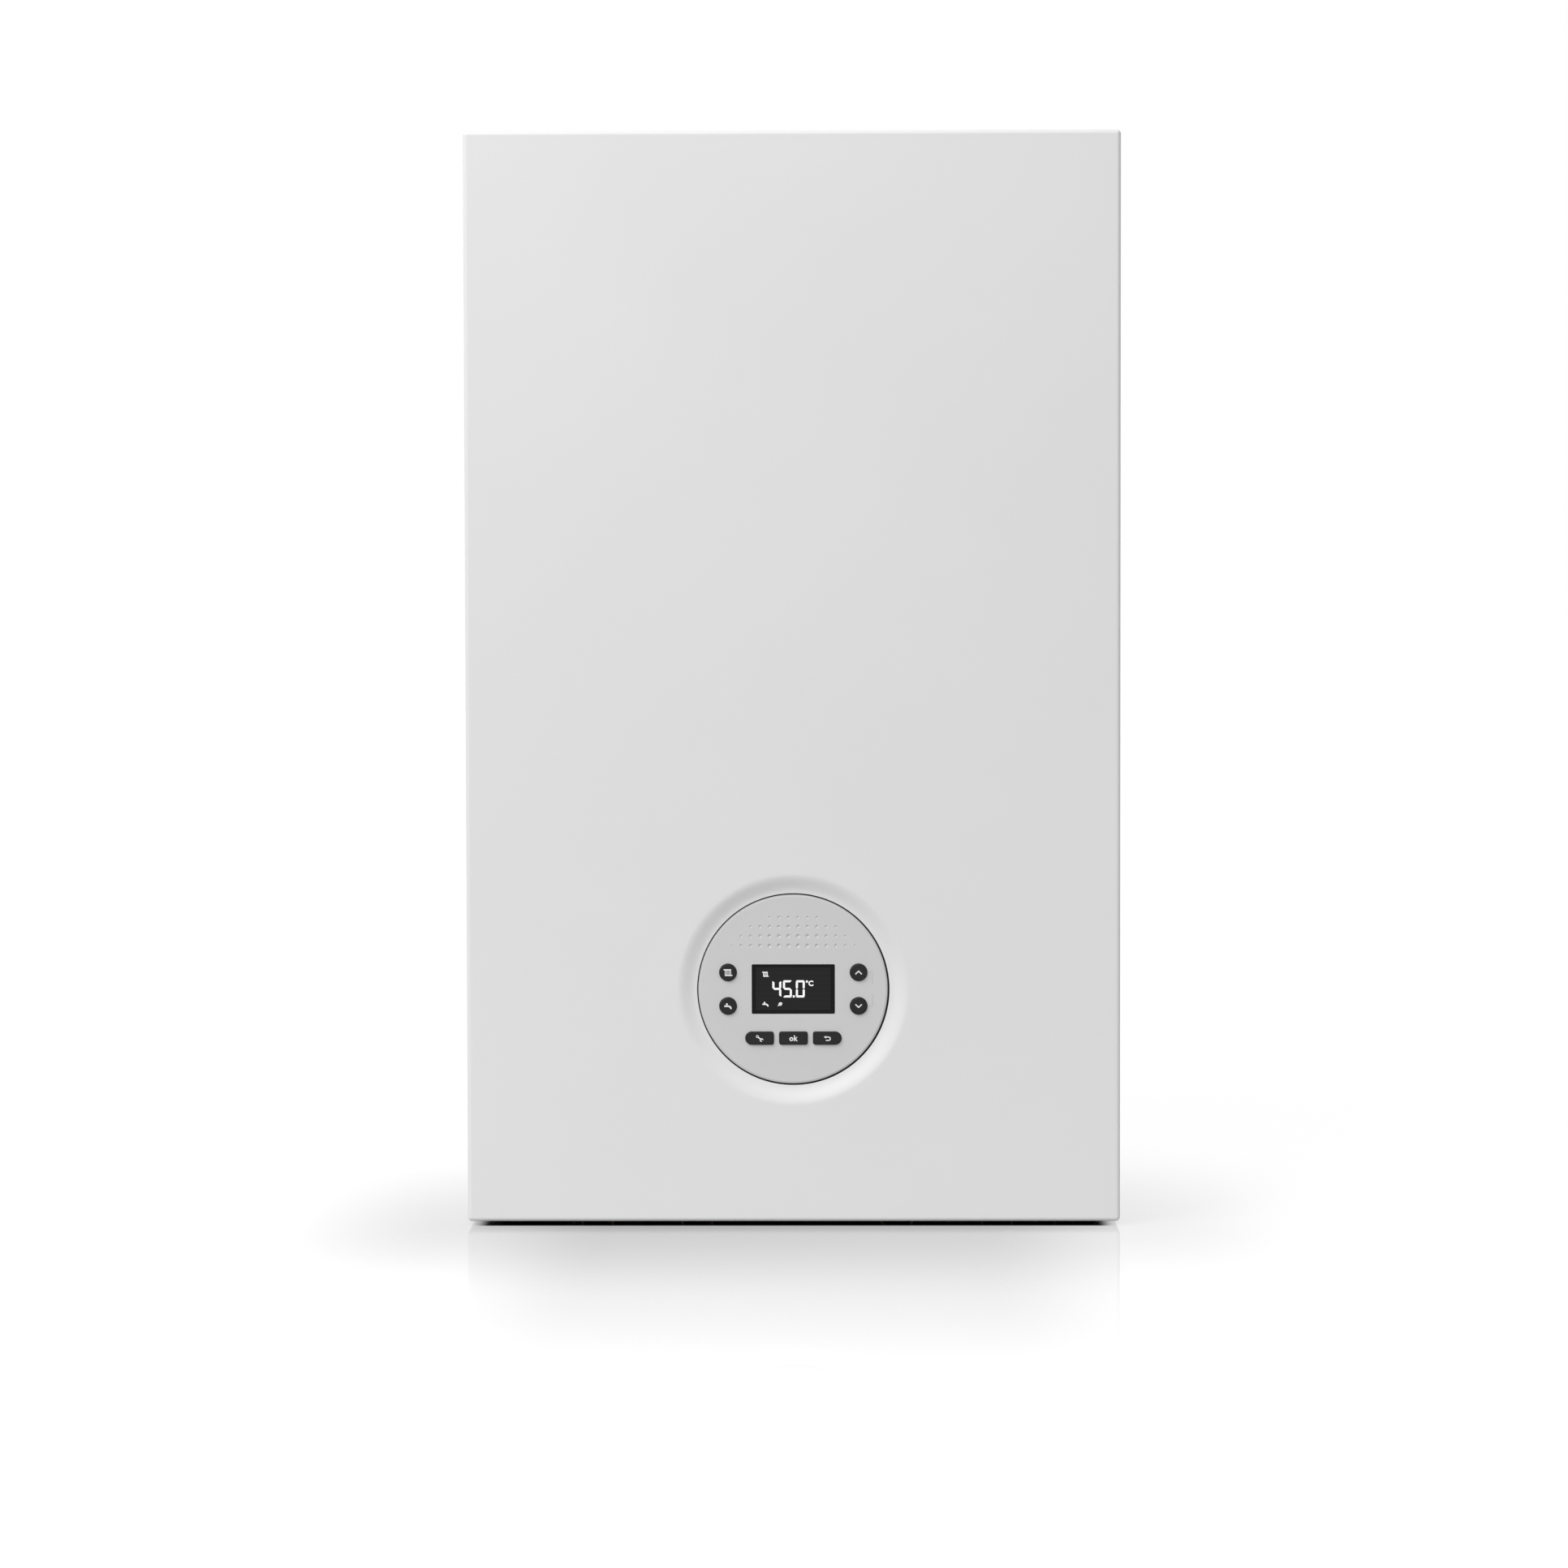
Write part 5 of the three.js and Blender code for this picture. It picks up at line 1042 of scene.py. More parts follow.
def threaded(centre, low, high, radius, bore, pitch=1.8):
    # a pipe end with its thread: crests and roots from one ridge after another
    profile = [[bore, low], [radius - 1.2, low]]
    z = low + 1
    while z < high - pitch:
        profile += [[radius, z + pitch * 0.35], [radius, z + pitch * 0.5],
                    [radius - 1.0, z + pitch * 0.9]]
        z += pitch
    profile += [[radius - 1.0, high], [bore, high], [bore, low]]
    return turned(profile, (centre[0], centre[1], 0), "z", 40)


# carried-over nodes: right shapes, with the finish of their sheet, cast or moulded stock
carried = {"wall_bracket": zinc, "left_panel": zinc, "right_panel": zinc, "top_plate": zinc,
           "bottom_plate": zinc, "support_rail": zinc, "exchanger_coil": stainless,
           "burner_tube": stainless, "door_insulation": fibre, "fan_impeller": nylon,
           "pump_impeller": paleNylon, "diverter_stem": brass, "main_board": solderMask,
           "display_board": solderMask, "hinge_pin_left": plated, "hinge_pin_right": plated,
           "case_screw_left": plated, "case_screw_right": plated}
for node, material in carried.items():
    paint(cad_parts[node], material)

# back panel: sheet with three raised fields towards the wall, its hook and its foot
backPanel = {"half": 197.6, "front": -15.2, "back": -14, "low": -592, "high": 62.9,
             "fields": ((-520, -350), (-330, -160), (-140, 0)), "fieldHalf": 165, "raise": 8,
             "slope": 9, "holeRadius": 4, "holeSides": (-180, 180), "holeHeights": (-560, -250, 40),
             "hookHalf": 130, "footHalf": 176}


def makeBackPanel(s):
    sheet = box((-s["half"], s["front"], s["low"]), (s["half"], s["back"], s["high"]))
    edit(sheet)
    cuts = [((0, 0, z * mm), (0, 0, 1)) for field in s["fields"] for z in field]
    cuts += [((side * s["fieldHalf"] * mm, 0, 0), (1, 0, 0)) for side in (-1, 1)]
    for place, way in cuts:
        bpy.ops.mesh.select_all(action="SELECT")
        bpy.ops.mesh.bisect(plane_co=place, plane_no=way)
    for low, high in s["fields"]:
        pick("FACE", lambda at, way: way.y > 0.99 and low < at.z < high
             and abs(at.x) < s["fieldHalf"])
        bpy.ops.mesh.inset(thickness=s["slope"] * mm, depth=s["raise"] * mm)
        bevelEdges(2.5, 3, lambda at, way: at.y > s["back"] + s["raise"] - 0.1)
    leave()
    wide, foot = s["hookHalf"], s["footHalf"]
    cutBy(sheet, [box((-wide, -14.6, 32.3), (wide, -5, 34.3)),
                  box((-wide, -7, 20.3), (wide, -5, 34.3)),
                  box((-foot, -14.6, -580), (foot, 0, -578.8)),
                  box((-foot, -1.2, -580), (foot, 0, -540))], "UNION")
    hole = rod((0, 0, 0), "y", s["holeRadius"], 20, 24)
    cutBy(sheet, [joined(stamped(hole, [(x, -12, z) for x in s["holeSides"]
                                        for z in s["holeHeights"]]))])
    soften(sheet, 0.3, 2, 50)
    finished("back_sheet", sheet, "chassis", zinc, ["back_panel"])


makeBackPanel(backPanel)

# screws that hold the side sheets to the back, top and bottom plates
sideScrews = {"side": 198, "radius": 3.5, "high": 0.9, "proud": 0.25,
              "places": [(-24, z) for z in (-540, -400, -260, -120, 20)]
              + [(-190, z) for z in (-540, -170, 40)]}


def makeSideScrews(s):
    for side, name in ((-1, "left"), (1, "right")):
        head = rod((side * (s["side"] + s["proud"]), 0, 0), "x", s["radius"], s["high"], 20)
        edit(head)
        bevelEdges(0.4, 2, lambda at, way: side * at.x > s["side"] + 0.5)
        leave()
        heads = painted(plated, *stamped(head, [(0, y, z) for y, z in s["places"]]))
        finished(name + "_panel_rivets", joined(heads), "chassis")


makeSideScrews(sideScrews)
print("chassis finished")

# heat exchanger: drawn shell with rolled beads, flue spigot, drain and two water ports; a
# profile, here and below, holds [radius, place along the axis] points of a turned piece
exchanger = {"centre": (0, 0, -75), "radius": 90, "wall": 6, "front": -245, "back": -92,
             "flange": 97, "beads": (-215, -185, -155, -125), "portPlace": -215, "portRise": 40,
             "portSide": 94, "portRadius": 10, "nutSide": 101, "nutRadius": 14.5,
             "spigotPlace": (0, -145, 0), "drainPlace": (0, -108, 0),
             "spigotProfile": [[29, -10], [33, -10], [33, 18], [34.5, 20], [34.5, 24], [33, 26],
                               [29, 26], [29, -10]],
             "drainProfile": [[5, -160], [9, -160], [9, -168], [8, -169], [8, -175], [5, -175],
                              [5, -160]]}


def makeExchanger(s):
    r = s["radius"]
    profile = [[0, s["back"]], [r - 8, s["back"]], [r - 2, s["back"] - 2.5], [r, s["back"] - 8]]
    for bead in reversed(s["beads"]):
        profile += [[r, bead + 5], [r + 1.6, bead + 2], [r + 1.6, bead - 2], [r, bead - 5]]
    inner = r - s["wall"]
    profile += [[r, -238], [r + 2, -240], [s["flange"], -240.3], [s["flange"], s["front"]],
                [inner, s["front"]], [inner, s["back"] - 5], [0, s["back"] - 5]]
    shell = turned(profile, s["centre"], "y", 96)
    spigot = turned(s["spigotProfile"], s["spigotPlace"], "z", 64)
    drain = turned(s["drainProfile"], s["drainPlace"], "z", 32)
    parts = painted(stainless, shell, spigot, drain)
    for side in (-1, 1):
        y, z = s["portPlace"], s["centre"][2] - side * s["portRise"]
        parts += painted(stainless, rod((side * s["portSide"], y, z), "x", s["portRadius"], 28, 40))
        parts += painted(brass, nut((side * s["nutSide"], y, z), "x", s["nutRadius"], 12))
    finished("exchanger_body", joined(parts), "chassis", None, ["exchanger_shell"],
             angle=35)


makeExchanger(exchanger)

# burner door: cast disc held by nuts, with the duct that brings gas and air from the fan
burnerDoor = {"centre": (0, -75), "radius": 97, "front": -257, "back": -245.3, "duct": -281,
              "hub": 32, "inlet": (-131, -138), "inletRadius": 25, "ductRound": 7, "nuts": 8,
              "nutCircle": 91, "nutRadius": 5, "ribAngles": (20, 65, 110, 155, 250, 290, 335),
              "glass": (45, -112),
              "mouthProfile": [[20.6, -256.3], [25, -256.3], [25, -262], [20.6, -262],
                               [20.6, -256.3]]}


def hull(a, b, steps=16):  # the outline round two circles, each (x, z, radius)
    away = math.atan2(b[1] - a[1], b[0] - a[0])
    lean = math.acos((a[2] - b[2]) / math.hypot(b[0] - a[0], b[1] - a[1]))
    deg = math.degrees
    return (arc(*a, deg(away + lean), deg(away + turn - lean), steps)
            + arc(*b, deg(away - lean), deg(away + lean), steps))


def makeBurnerDoor(s):
    x, z = s["centre"]
    disc = turned([[0, s["back"]], [s["radius"], s["back"]], [s["radius"], s["front"] + 3],
                   [s["radius"] - 2, s["front"]], [s["radius"] - 11, s["front"]],
                   [s["radius"] - 14, s["front"] + 2.5], [0, s["front"] + 2.5]], (x, 0, z), "y", 96)
    duct = shape([hull((x, z, s["hub"]), (*s["inlet"], s["inletRadius"]))],
                 s["front"] + 3 - s["duct"] - s["ductRound"], s["duct"] + s["ductRound"])
    applied(duct, "WELD", merge_threshold=0.01 * mm)
    edit(duct)
    bpy.ops.mesh.select_mode(type="FACE")
    bpy.ops.mesh.select_all(action="SELECT")
    bpy.ops.mesh.dissolve_limited(angle_limit=math.radians(1))
    domed(lambda at, way: way.y < -0.999, s["ductRound"])
    leave()
    # the duct's mouth over the fan's nozzle
    mouth = turned(s["mouthProfile"], (s["inlet"][0], 0, s["inlet"][1]), "y", 48)
    rib = softBox((-1.6, s["front"] + 0.5, s["hub"] + 6), (1.6, s["front"] + 4, s["radius"] - 13),
                  0.8, 2)
    ribs = stamped(rib, [(x, 0, z)] * len(s["ribAngles"]), "Y",
                   [-math.radians(angle) for angle in s["ribAngles"]])
    places = onCircle(s["nutCircle"], [360 * (k + 0.5) / s["nuts"] for k in range(s["nuts"])])
    places = [(x + a, 0, z + b) for a, b in places]
    fixings = []
    for piece in (nut((0, s["front"] - 2.4, 0), "y", s["nutRadius"], 4.4),
                  soften(rod((0, s["front"] - 0.4, 0), "y", 6, 0.9, 32), 0.2, 2),
                  soften(rod((0, s["front"] - 5, 0), "y", 2.4, 5, 20), 0.4, 2)):
        fixings += painted(plated, *stamped(piece, places))
    glass = turned([[0, s["front"] + 2], [8, s["front"] + 2], [8, s["front"] - 1.5],
                    [6.5, s["front"] - 2.5], [5, s["front"] - 2.5], [5, s["front"] - 0.5],
                    [0, s["front"] - 0.5]], (s["glass"][0], 0, s["glass"][1]), "y", 32)
    parts = painted(castAlloy, disc, duct, mouth, *ribs) + fixings + painted(plated, glass)
    finished("burner_door_casting", joined(parts), "chassis", None,
             ["burner_door"], angle=35)


makeBurnerDoor(burnerDoor)

# electrodes: two ribbed insulators in a clamping plate, with their rods
electrodes = {"at": (37, -38), "face": -257.3, "tip": -215, "plate": (14, 2, 8), "pitch": 12,
              "ridges": 3, "ridgePitch": 2.4}


def makeElectrodes(s):
    x, z = s["at"]
    face = s["face"]
    wide, thick, high = s["plate"]
    plate = softBox((x - wide, face - thick, z - high), (x + wide, face, z + high), 1.2, 3)
    profile = [[0, face], [4, face], [4, face - 4]]
    for k in range(s["ridges"]):
        y = face - 4 - k * s["ridgePitch"]
        profile += [[4.4, y - 0.6], [4.4, y - 1.2], [3.4, y - 1.7], [3.4, y - 2.4]]
    profile += [[3, face - 14], [0, face - 14]]
    parts = painted(plated, plate)
    insulator = turned(profile, (0, 0, 0), "y", 32)
    wire = rod((0, (face + s["tip"]) / 2, 0), "y", 1.3, s["tip"] - face, 16)
    screw = screwHead((0, face - 2.8, 0), "y", 2.2, 1.8)
    half, sides = s["pitch"] / 2, (-1, 1)
    parts += painted(ceramic, *stamped(insulator, [(x + side * half, 0, z) for side in sides]))
    parts += painted(plated, *stamped(wire, [(x + side * 3, 0, z - side * 3) for side in sides]))
    parts += stamped(screw, [(x + side * 11.2, 0, z + side * 5) for side in sides])
    parts += painted(ceramic, soften(rod((x, face + 5, z), "y", 5, 12, 32), 0.4, 2))
    finished("electrode_pair", joined(parts), "chassis", None, ["electrode_set"])


makeElectrodes(electrodes)

# flue: inner plastic duct and the cast collar on the top plate
flue = {"middle": (0, -145, 0), "flangeRadius": 64, "bore": 51.5, "top": 68,
        "screwCircle": 59.5, "screwAngles": (45, 135, 225, 315),
        "ductProfile": [[29, 26.3], [31.5, 26.3], [31.5, 40], [31.5, 50], [32.6, 51], [32.6, 56],
                        [31.5, 57], [31.5, 60], [31, 60.7], [29, 60.7], [29, 26.3]]}


def makeFlue(s):
    duct = turned(s["ductProfile"], s["middle"], "z", 64)
    finished("flue_inner_duct", duct, "chassis", greyPipe, ["flue_duct"])
    r, bore, top = s["flangeRadius"], s["bore"], s["top"]
    collar = turned([[bore, 34], [bore + 3, 34], [bore + 3, 65], [r - 1, 65], [r, 65.6],
                     [r, top - 1], [r - 1, top - 0.2], [bore + 5, top - 0.2], [bore + 4, top],
                     [bore + 1, top], [bore, top - 1], [bore, 34]], s["middle"], "z", 96)
    screws = stamped(screwHead((0, s["middle"][1], top + 0.8), "z", 3, 2), [
        (a, b, 0) for a, b in onCircle(s["screwCircle"], s["screwAngles"])])
    finished("flue_collar_casting", joined(painted(castAlloy, collar) + screws), "chassis",
             None, ["flue_collar"])


makeFlue(flue)
print("heat exchanger and flue made")

# fan: volute casing with its spout and nozzle, and the motor on its front
fan = {"centre": (-95, 0, -230), "radius": 58, "front": -245, "back": -195, "inlet": 26,
       "spout": ((-153, -241.5, -225), (-109, -205, -115)), "nozzle": (-131, -138),
       "lugAngles": (-60, -20, 20, 60, 180, 225), "lugLeft": -151.5, "vents": 16,
       "nozzleProfile": [[16, -215], [20, -215], [20, -248], [20, -255], [19.3, -255.7],
                         [16, -255.7], [16, -215]],
       "motorProfile": [[4.5, -245.3], [40, -245.3], [40, -250.5], [39, -251.3], [36.5, -252.5],
                        [36, -255], [36, -272], [35, -276], [31, -281], [26, -283], [0, -283.3],
                        [0, -265], [4.5, -265], [4.5, -245.3]],
       "venturiProfile": [[24, -194.7], [36, -194.7], [36, -191], [34, -190], [30, -188.7],
                          [29, -180], [29, -165], [30, -158], [34, -151], [35, -149.9],
                          [33.5, -149.7], [30, -150.5], [20, -160], [17, -170.7], [24, -194.7]]}


def makeFan(s):
    x, z = s["centre"][0], s["centre"][2]
    r = s["radius"]
    casing = turned([[4.5, s["front"]], [r - 12, s["front"]], [r - 10, s["front"] + 1.5],
                     [r - 3, s["front"] + 1.5], [r, s["front"] + 4], [r, -224], [r + 2, -222],
                     [r + 2, -218], [r, -216], [r, s["back"] - 4], [r - 4, s["back"]],
                     [s["inlet"], s["back"]], [s["inlet"], s["back"] - 4], [r - 5, s["back"] - 4],
                     [r - 5, s["front"] + 4], [4.5, s["front"] + 4], [4.5, s["front"]]],
                    s["centre"], "y", 96)
    spout = softBox(*s["spout"], 5, 4)
    nozzle = turned(s["nozzleProfile"], (s["nozzle"][0], 0, s["nozzle"][1]), "y", 48)
    places = [(max(x + a, s["lugLeft"]), 0, z + b) for a, b in onCircle(r + 2, s["lugAngles"])]
    lugs = stamped(soften(rod((0, -221, 0), "y", 5, 14, 24), 0.8, 2), places)
    screws = stamped(screwHead((0, -229, 0), "y", 3, 2.4), places)
    parts = painted(castAlloy, casing, spout, nozzle, *lugs) + screws
    finished("fan_casing", joined(parts), "chassis", None, ["fan_housing"],
             angle=35)


def makeFanMotor(s):
    x, z = s["centre"][0], s["centre"][2]
    body = turned(s["motorProfile"], s["centre"], "y", 72)
    # vent slots round the shoulder of the cap
    slot = softBox((-1.3, -290, 17), (1.3, -279, 28), 1.2, 3, "y")
    slots = stamped(slot, [(x, 0, z)] * s["vents"], "Y",
                    [turn * k / s["vents"] for k in range(s["vents"])])
    cutBy(body, [joined(slots)])
    plug = softBox((x - 11, -269, z - 46), (x + 11, -255, z - 34), 1.2, 2)
    latch = softBox((x - 5, -270.5, z - 47), (x + 5, -268, z - 39), 0.5, 2)
    parts = painted(nylon, body) + painted(paleNylon, plug, latch)
    finished("fan_motor_can", joined(parts), "chassis", None, ["fan_motor"])


def makeVenturi(s):
    x, z = s["centre"][0], s["centre"][2]
    body = turned(s["venturiProfile"], s["centre"], "y", 72)
    port = rod((x + 34, -172.7, z), "x", 10, 20, 36)
    seat = nut((x + 44, -172.7, z), "x", 13, 11)
    parts = painted(nylon, body, soften(port, 0.5, 2)) + painted(brass, seat)
    finished("mixing_venturi", joined(parts), "chassis", None, ["venturi"])


makeFan(fan)
makeFanMotor(fan)
makeVenturi(fan)

# gas valve: cast body, two potted coils, regulator cap, pressure tappings and union nuts
gasValve = {"low": (20, -215, -300), "high": (80, -150, -235), "coilTop": -205,
            "grooves": (-286, -279), "coils": (36, 64), "tappings": (30, 70), "tapLevel": -289,
            "screwSides": (25, 75), "screwLevels": (-295, -240), "cap": (50, -270),
            "capProfile": [[0, -213], [15, -213], [15, -216], [14, -217], [14, -229], [13, -230.6],
                           [11, -231], [9, -230.4], [0, -230.4]]}


def makeGasValve(s):
    body = softBox(s["low"], s["high"], 4, 4)
    groove = softBox((18, -217, -1), (82, -213.8, 1), 0.4, 2)
    cutBy(body, [joined(stamped(groove, [(0, 0, z) for z in s["grooves"]]))])
    parts = painted(castAlloy, body)
    top = s["coilTop"]
    for material, piece in (
            (potting, softBox((-12, -205, -236), (12, -165, top), 2.5, 3)),
            (potting, softBox((-8, -211, -228), (8, -204, -213), 1, 2)),
            (plated, softBox((-9, -201, top - 0.5), (9, -169, top + 1.2), 0.6, 2)),
            (plated, soften(rod((0, -185, top + 2.5), "z", 3, 4, 24), 0.5, 2))):
        parts += painted(material, *stamped(piece, [(x, 0, 0) for x in s["coils"]]))
    x, z = s["cap"]
    cap = turned(s["capProfile"], (x, 0, z), "y", 48)
    cutBy(cap, [box((x - 1, -233, z - 7), (x + 1, -229.6, z + 7))])
    parts += painted(nylon, cap)
    places = [(x, 0, s["tapLevel"]) for x in s["tappings"]]
    tapping = soften(rod((0, -218, 0), "y", 4, 9, 28), 0.5, 2)
    parts += painted(brass, *stamped(tapping, places))
    parts += stamped(screwHead((0, -223, 0), "y", 2.6, 1.4), places)
    inlet = nut((50, -182.5, -304.6), "z", 15, 11)
    outlet = nut((15, -172.7, -270), "x", 13, 10.5)
    neck = rod((50, -182.5, -299), "z", 12, 4, 36)
    parts += painted(brass, inlet, outlet, neck)
    parts += stamped(screwHead((0, -215.8, 0), "y", 2.6, 1.8), [
        (x, 0, z) for x in s["screwSides"] for z in s["screwLevels"]])
    finished("gas_valve_body", joined(parts), "chassis", None, ["gas_valve"])


makeGasValve(gasValve)

# pipes: bent tube with the sizes of the real runs, and union nuts where the table lists them
pipes = {
    "gas_supply_run": (copper, "copper", "gas_pipe_lower", 9, 20,
                       [(0, -110, -592), (0, -110, -360), (50, -182.5, -360),
                        (50, -182.5, -310.3)], []),
    "gas_mixer_run": (copper, "copper", "gas_pipe_upper", 7, 12,
                      [(9.7, -172.7, -270), (-20, -172.7, -270), (-20, -172.7, -230),
                       (-38, -172.7, -230)], []),
    "flow_run": (copper, "copper", "flow_pipe", 9, 20,
                 [(-108.3, -215, -35), (-175, -215, -35), (-175, -215, -350),
                  (-140, -110, -350), (-140, -110, -419.7)], []),
    "return_run": (copper, "copper", "return_pipe", 9, 20,
                   [(138, -103, -415.7), (138, -103, -325), (155, -215, -325),
                    (155, -215, -115), (108.3, -215, -115)], []),
    "vessel_run": (copper, "copper", "vessel_pipe", 4.5, 12,
                   [(95, -50, -358.3), (95, -50, -375), (95, -100, -375), (95, -100, -416.7)],
                   [((95, -50, -366), "z", 8, 9), ((95, -100, -410), "z", 8, 9)]),
    "condensate_run": (greyPipe, "grey_pipe", "condensate_pipe", 8, 16,
                       [(0, -108, -175.3), (0, -108, -205), (168, -108, -205),
                        (168, -108, -300), (168, -55, -360), (168, -55, -394.7)], []),
}
# where the condensate pipe's sleeves sit, by the way they lie
sleeves = {"z": [(0, -108, -182), (168, -108, -236), (168, -108, -280), (168, -55, -386)],
           "x": [(30, -108, -205), (140, -108, -205)]}


def makePipes(table):
    for name, (material, slot, node, radius, bend, points, nuts) in table.items():
        run = tube(points, radius, bend, 32, 12)
        if node == "gas_pipe_lower":  # its open end under the bottom plate
            cutBy(run, [rod(points[0], "z", radius - 1, 50, 32)])
        parts = painted(material, run)
        parts += [paint(nut(*n), brass) for n in nuts]
        if node == "condensate_pipe":  # push-fit sleeves on the plastic pipe
            for axis, places in sleeves.items():
                sleeve = soften(rod((0, 0, 0), axis, radius + 2, 12, 40), 0.8, 3)
                parts += painted(greyPipe, *stamped(sleeve, places))
        finished(name, joined(parts), "chassis", None, [node])


makePipes(pipes)
print("fan, gas line and pipes made")

# expansion vessel: two deep-drawn halves joined by a rolled seam
vessel = {"half": 150, "low": -350, "high": 50, "front": -85.7, "back": -15.7, "seam": 4,
          "dish": 14, "corner": 45, "seamPlace": (-53.7, -47.7), "seamRound": 2.4,
          "panelEdge": 12, "panelSlope": 2.5, "panelSunk": 1.5, "stubPlace": (95, -50, 0),
          "stubProfile": [[5, -358], [8, -358], [8, -352], [11, -350], [11, -344], [5, -344],
                          [5, -358]]}


def makeVessel(s):
    inset, dish = s["seam"], s["dish"]
    body = box((-s["half"] + inset, s["front"] + dish, s["low"] + inset),
               (s["half"] - inset, s["back"] - dish, s["high"] - inset))
    edit(body)
    bevelEdges(s["corner"] - inset, 14, lambda at, way: abs(way.y) > 0.9)
    for side in (-1, 1):  # each half is drawn to a quarter-round rim, then a shallow panel
        domed(lambda at, way: side * way.y > 0.999, dish)
    pick("FACE", lambda at, way: way.y < -0.9999 and abs(at.y - s["front"]) < 0.01)
    bpy.ops.mesh.inset(thickness=s["panelEdge"] * mm, depth=0)
    bpy.ops.mesh.inset(thickness=s["panelSlope"] * mm, depth=-s["panelSunk"] * mm)
    leave()
    front, back = s["seamPlace"]
    seam = box((-s["half"], front, s["low"]), (s["half"], back, s["high"]))
    edit(seam)
    bevelEdges(s["corner"], 14, lambda at, way: abs(way.y) > 0.9)
    bevelEdges(s["seamRound"], 4, lambda at, way: abs(way.y) < 0.1)
    leave()
    stub = turned(s["stubProfile"], s["stubPlace"], "z", 32)
    finished("vessel_body", joined([body, seam, stub]), "chassis", redPaint,
             ["expansion_vessel"], angle=35)


makeVessel(vessel)

# hydraulic blocks: brass bodies with threaded tails, risers and union nuts
flowBlock = {"low": (-160, -132, -556.2), "high": (-47, -82.3, -518), "tails": (-130, -65),
             "tailPlace": -110, "tailRadius": 10.5, "tailBore": 7.5, "riser": (-140, -110),
             "cartridge": (-85, -110),
             "riserProfile": [[9, -523], [17, -523], [17, -500], [15, -497], [15, -440],
                              [17, -436], [17, -420], [9.5, -420], [9, -523]],
             "sleeveProfile": [[9.5, -523], [16, -523], [16, -492], [17.5, -490], [17.5, -484],
                               [16, -480], [9.5, -480], [9.5, -523]]}
returnBlock = {"low": (47, -132, -556.2), "high": (160, -82.3, -518), "tails": (65, 130),
               "tailPlace": -110, "tailRadius": 10.5, "tailBore": 7.5, "volute": (115, -470),
               "voluteRadius": 45,
               "port": (138, -103), "boss": (95, -100), "vent": (115, -104),
               "portProfile": [[9.5, -455], [14, -455], [14, -432], [15, -430], [15, -416],
                               [9.5, -416], [9.5, -455]],
               "bossProfile": [[3, -450], [8, -450], [8, -420], [7, -417], [3, -417], [3, -450]],
               "ventProfile": [[0, -440], [9, -440], [9, -412], [7.5, -407], [5, -405], [5, -399],
                               [4, -398], [0, -398]]}


def tails(s):  # threaded connection tails under a block
    r, bore = s["tailRadius"], s["tailBore"]
    places = [(x, s["tailPlace"], 0) for x in s["tails"]]
    neck = turned([[bore, -570], [r, -570], [r, -545], [bore, -545], [bore, -570]],
                  (0, 0, 0), "z", 40)
    return stamped(threaded((0, 0), -592, -570, r, bore), places) + stamped(neck, places)


def makeFlowBlock(s):
    body = softBox(s["low"], s["high"], 5, 4)
    x, y = s["riser"]
    riser = turned(s["riserProfile"], (x, y, 0), "z", 48)
    collar = nut((x, y, -429), "z", 20, 14)
    x, y = s["cartridge"]
    sleeve = turned(s["sleeveProfile"], (x, y, 0), "z", 48)
    cutBy(body, [rod((x, y, -508), "z", 9.5, 60, 40)])
    clip = soften(rod((x, y, -487), "z", 19, 1.6, 48), 0.4, 2)
    cutBy(clip, [rod((x, y, -487), "z", 17.6, 4, 48)])
    plug = nut((-104, -134, -540), "y", 7, 6)
    parts = painted(brass, body, riser, collar, sleeve, plug, *tails(s)) + painted(plated, clip)
    finished("flow_block_body", joined(parts), "chassis", None, ["flow_block"])


def makeReturnBlock(s):
    body = softBox(s["low"], s["high"], 5, 4)
    x, z = s["volute"]
    r = s["voluteRadius"]
    volute = turned([[0, -84.5], [r - 6, -84.5], [r, -90], [r, -118], [r - 1, -122], [36, -122],
                     [36, -90.5], [0, -90.5]], (x, 0, z), "y", 72)
    neck = softBox((x - 18, -122, -523), (x + 18, -84.5, -505), 4, 3)
    px, py = s["port"]
    port = turned(s["portProfile"], (px, py, 0), "z", 48)
    collar = nut((px, py, -423), "z", 17, 12)
    bx, by = s["boss"]
    boss = turned(s["bossProfile"], (bx, by, 0), "z", 32)
    vx, vy = s["vent"]
    vent = turned(s["ventProfile"], (vx, vy, 0), "z", 40)
    parts = painted(brass, body, volute, neck, port, collar, boss, vent, *tails(s))
    finished("return_block_body", joined(parts), "chassis", None, ["return_block"])


makeFlowBlock(flowBlock)
makeReturnBlock(returnBlock)

# plate exchanger: a brazed pack of pressed plates between two thicker end plates
platePack = {"half": 90, "low": -540, "high": -465, "front": -82, "back": -36.2, "count": 12,
             "corner": 14, "end": 2.5}


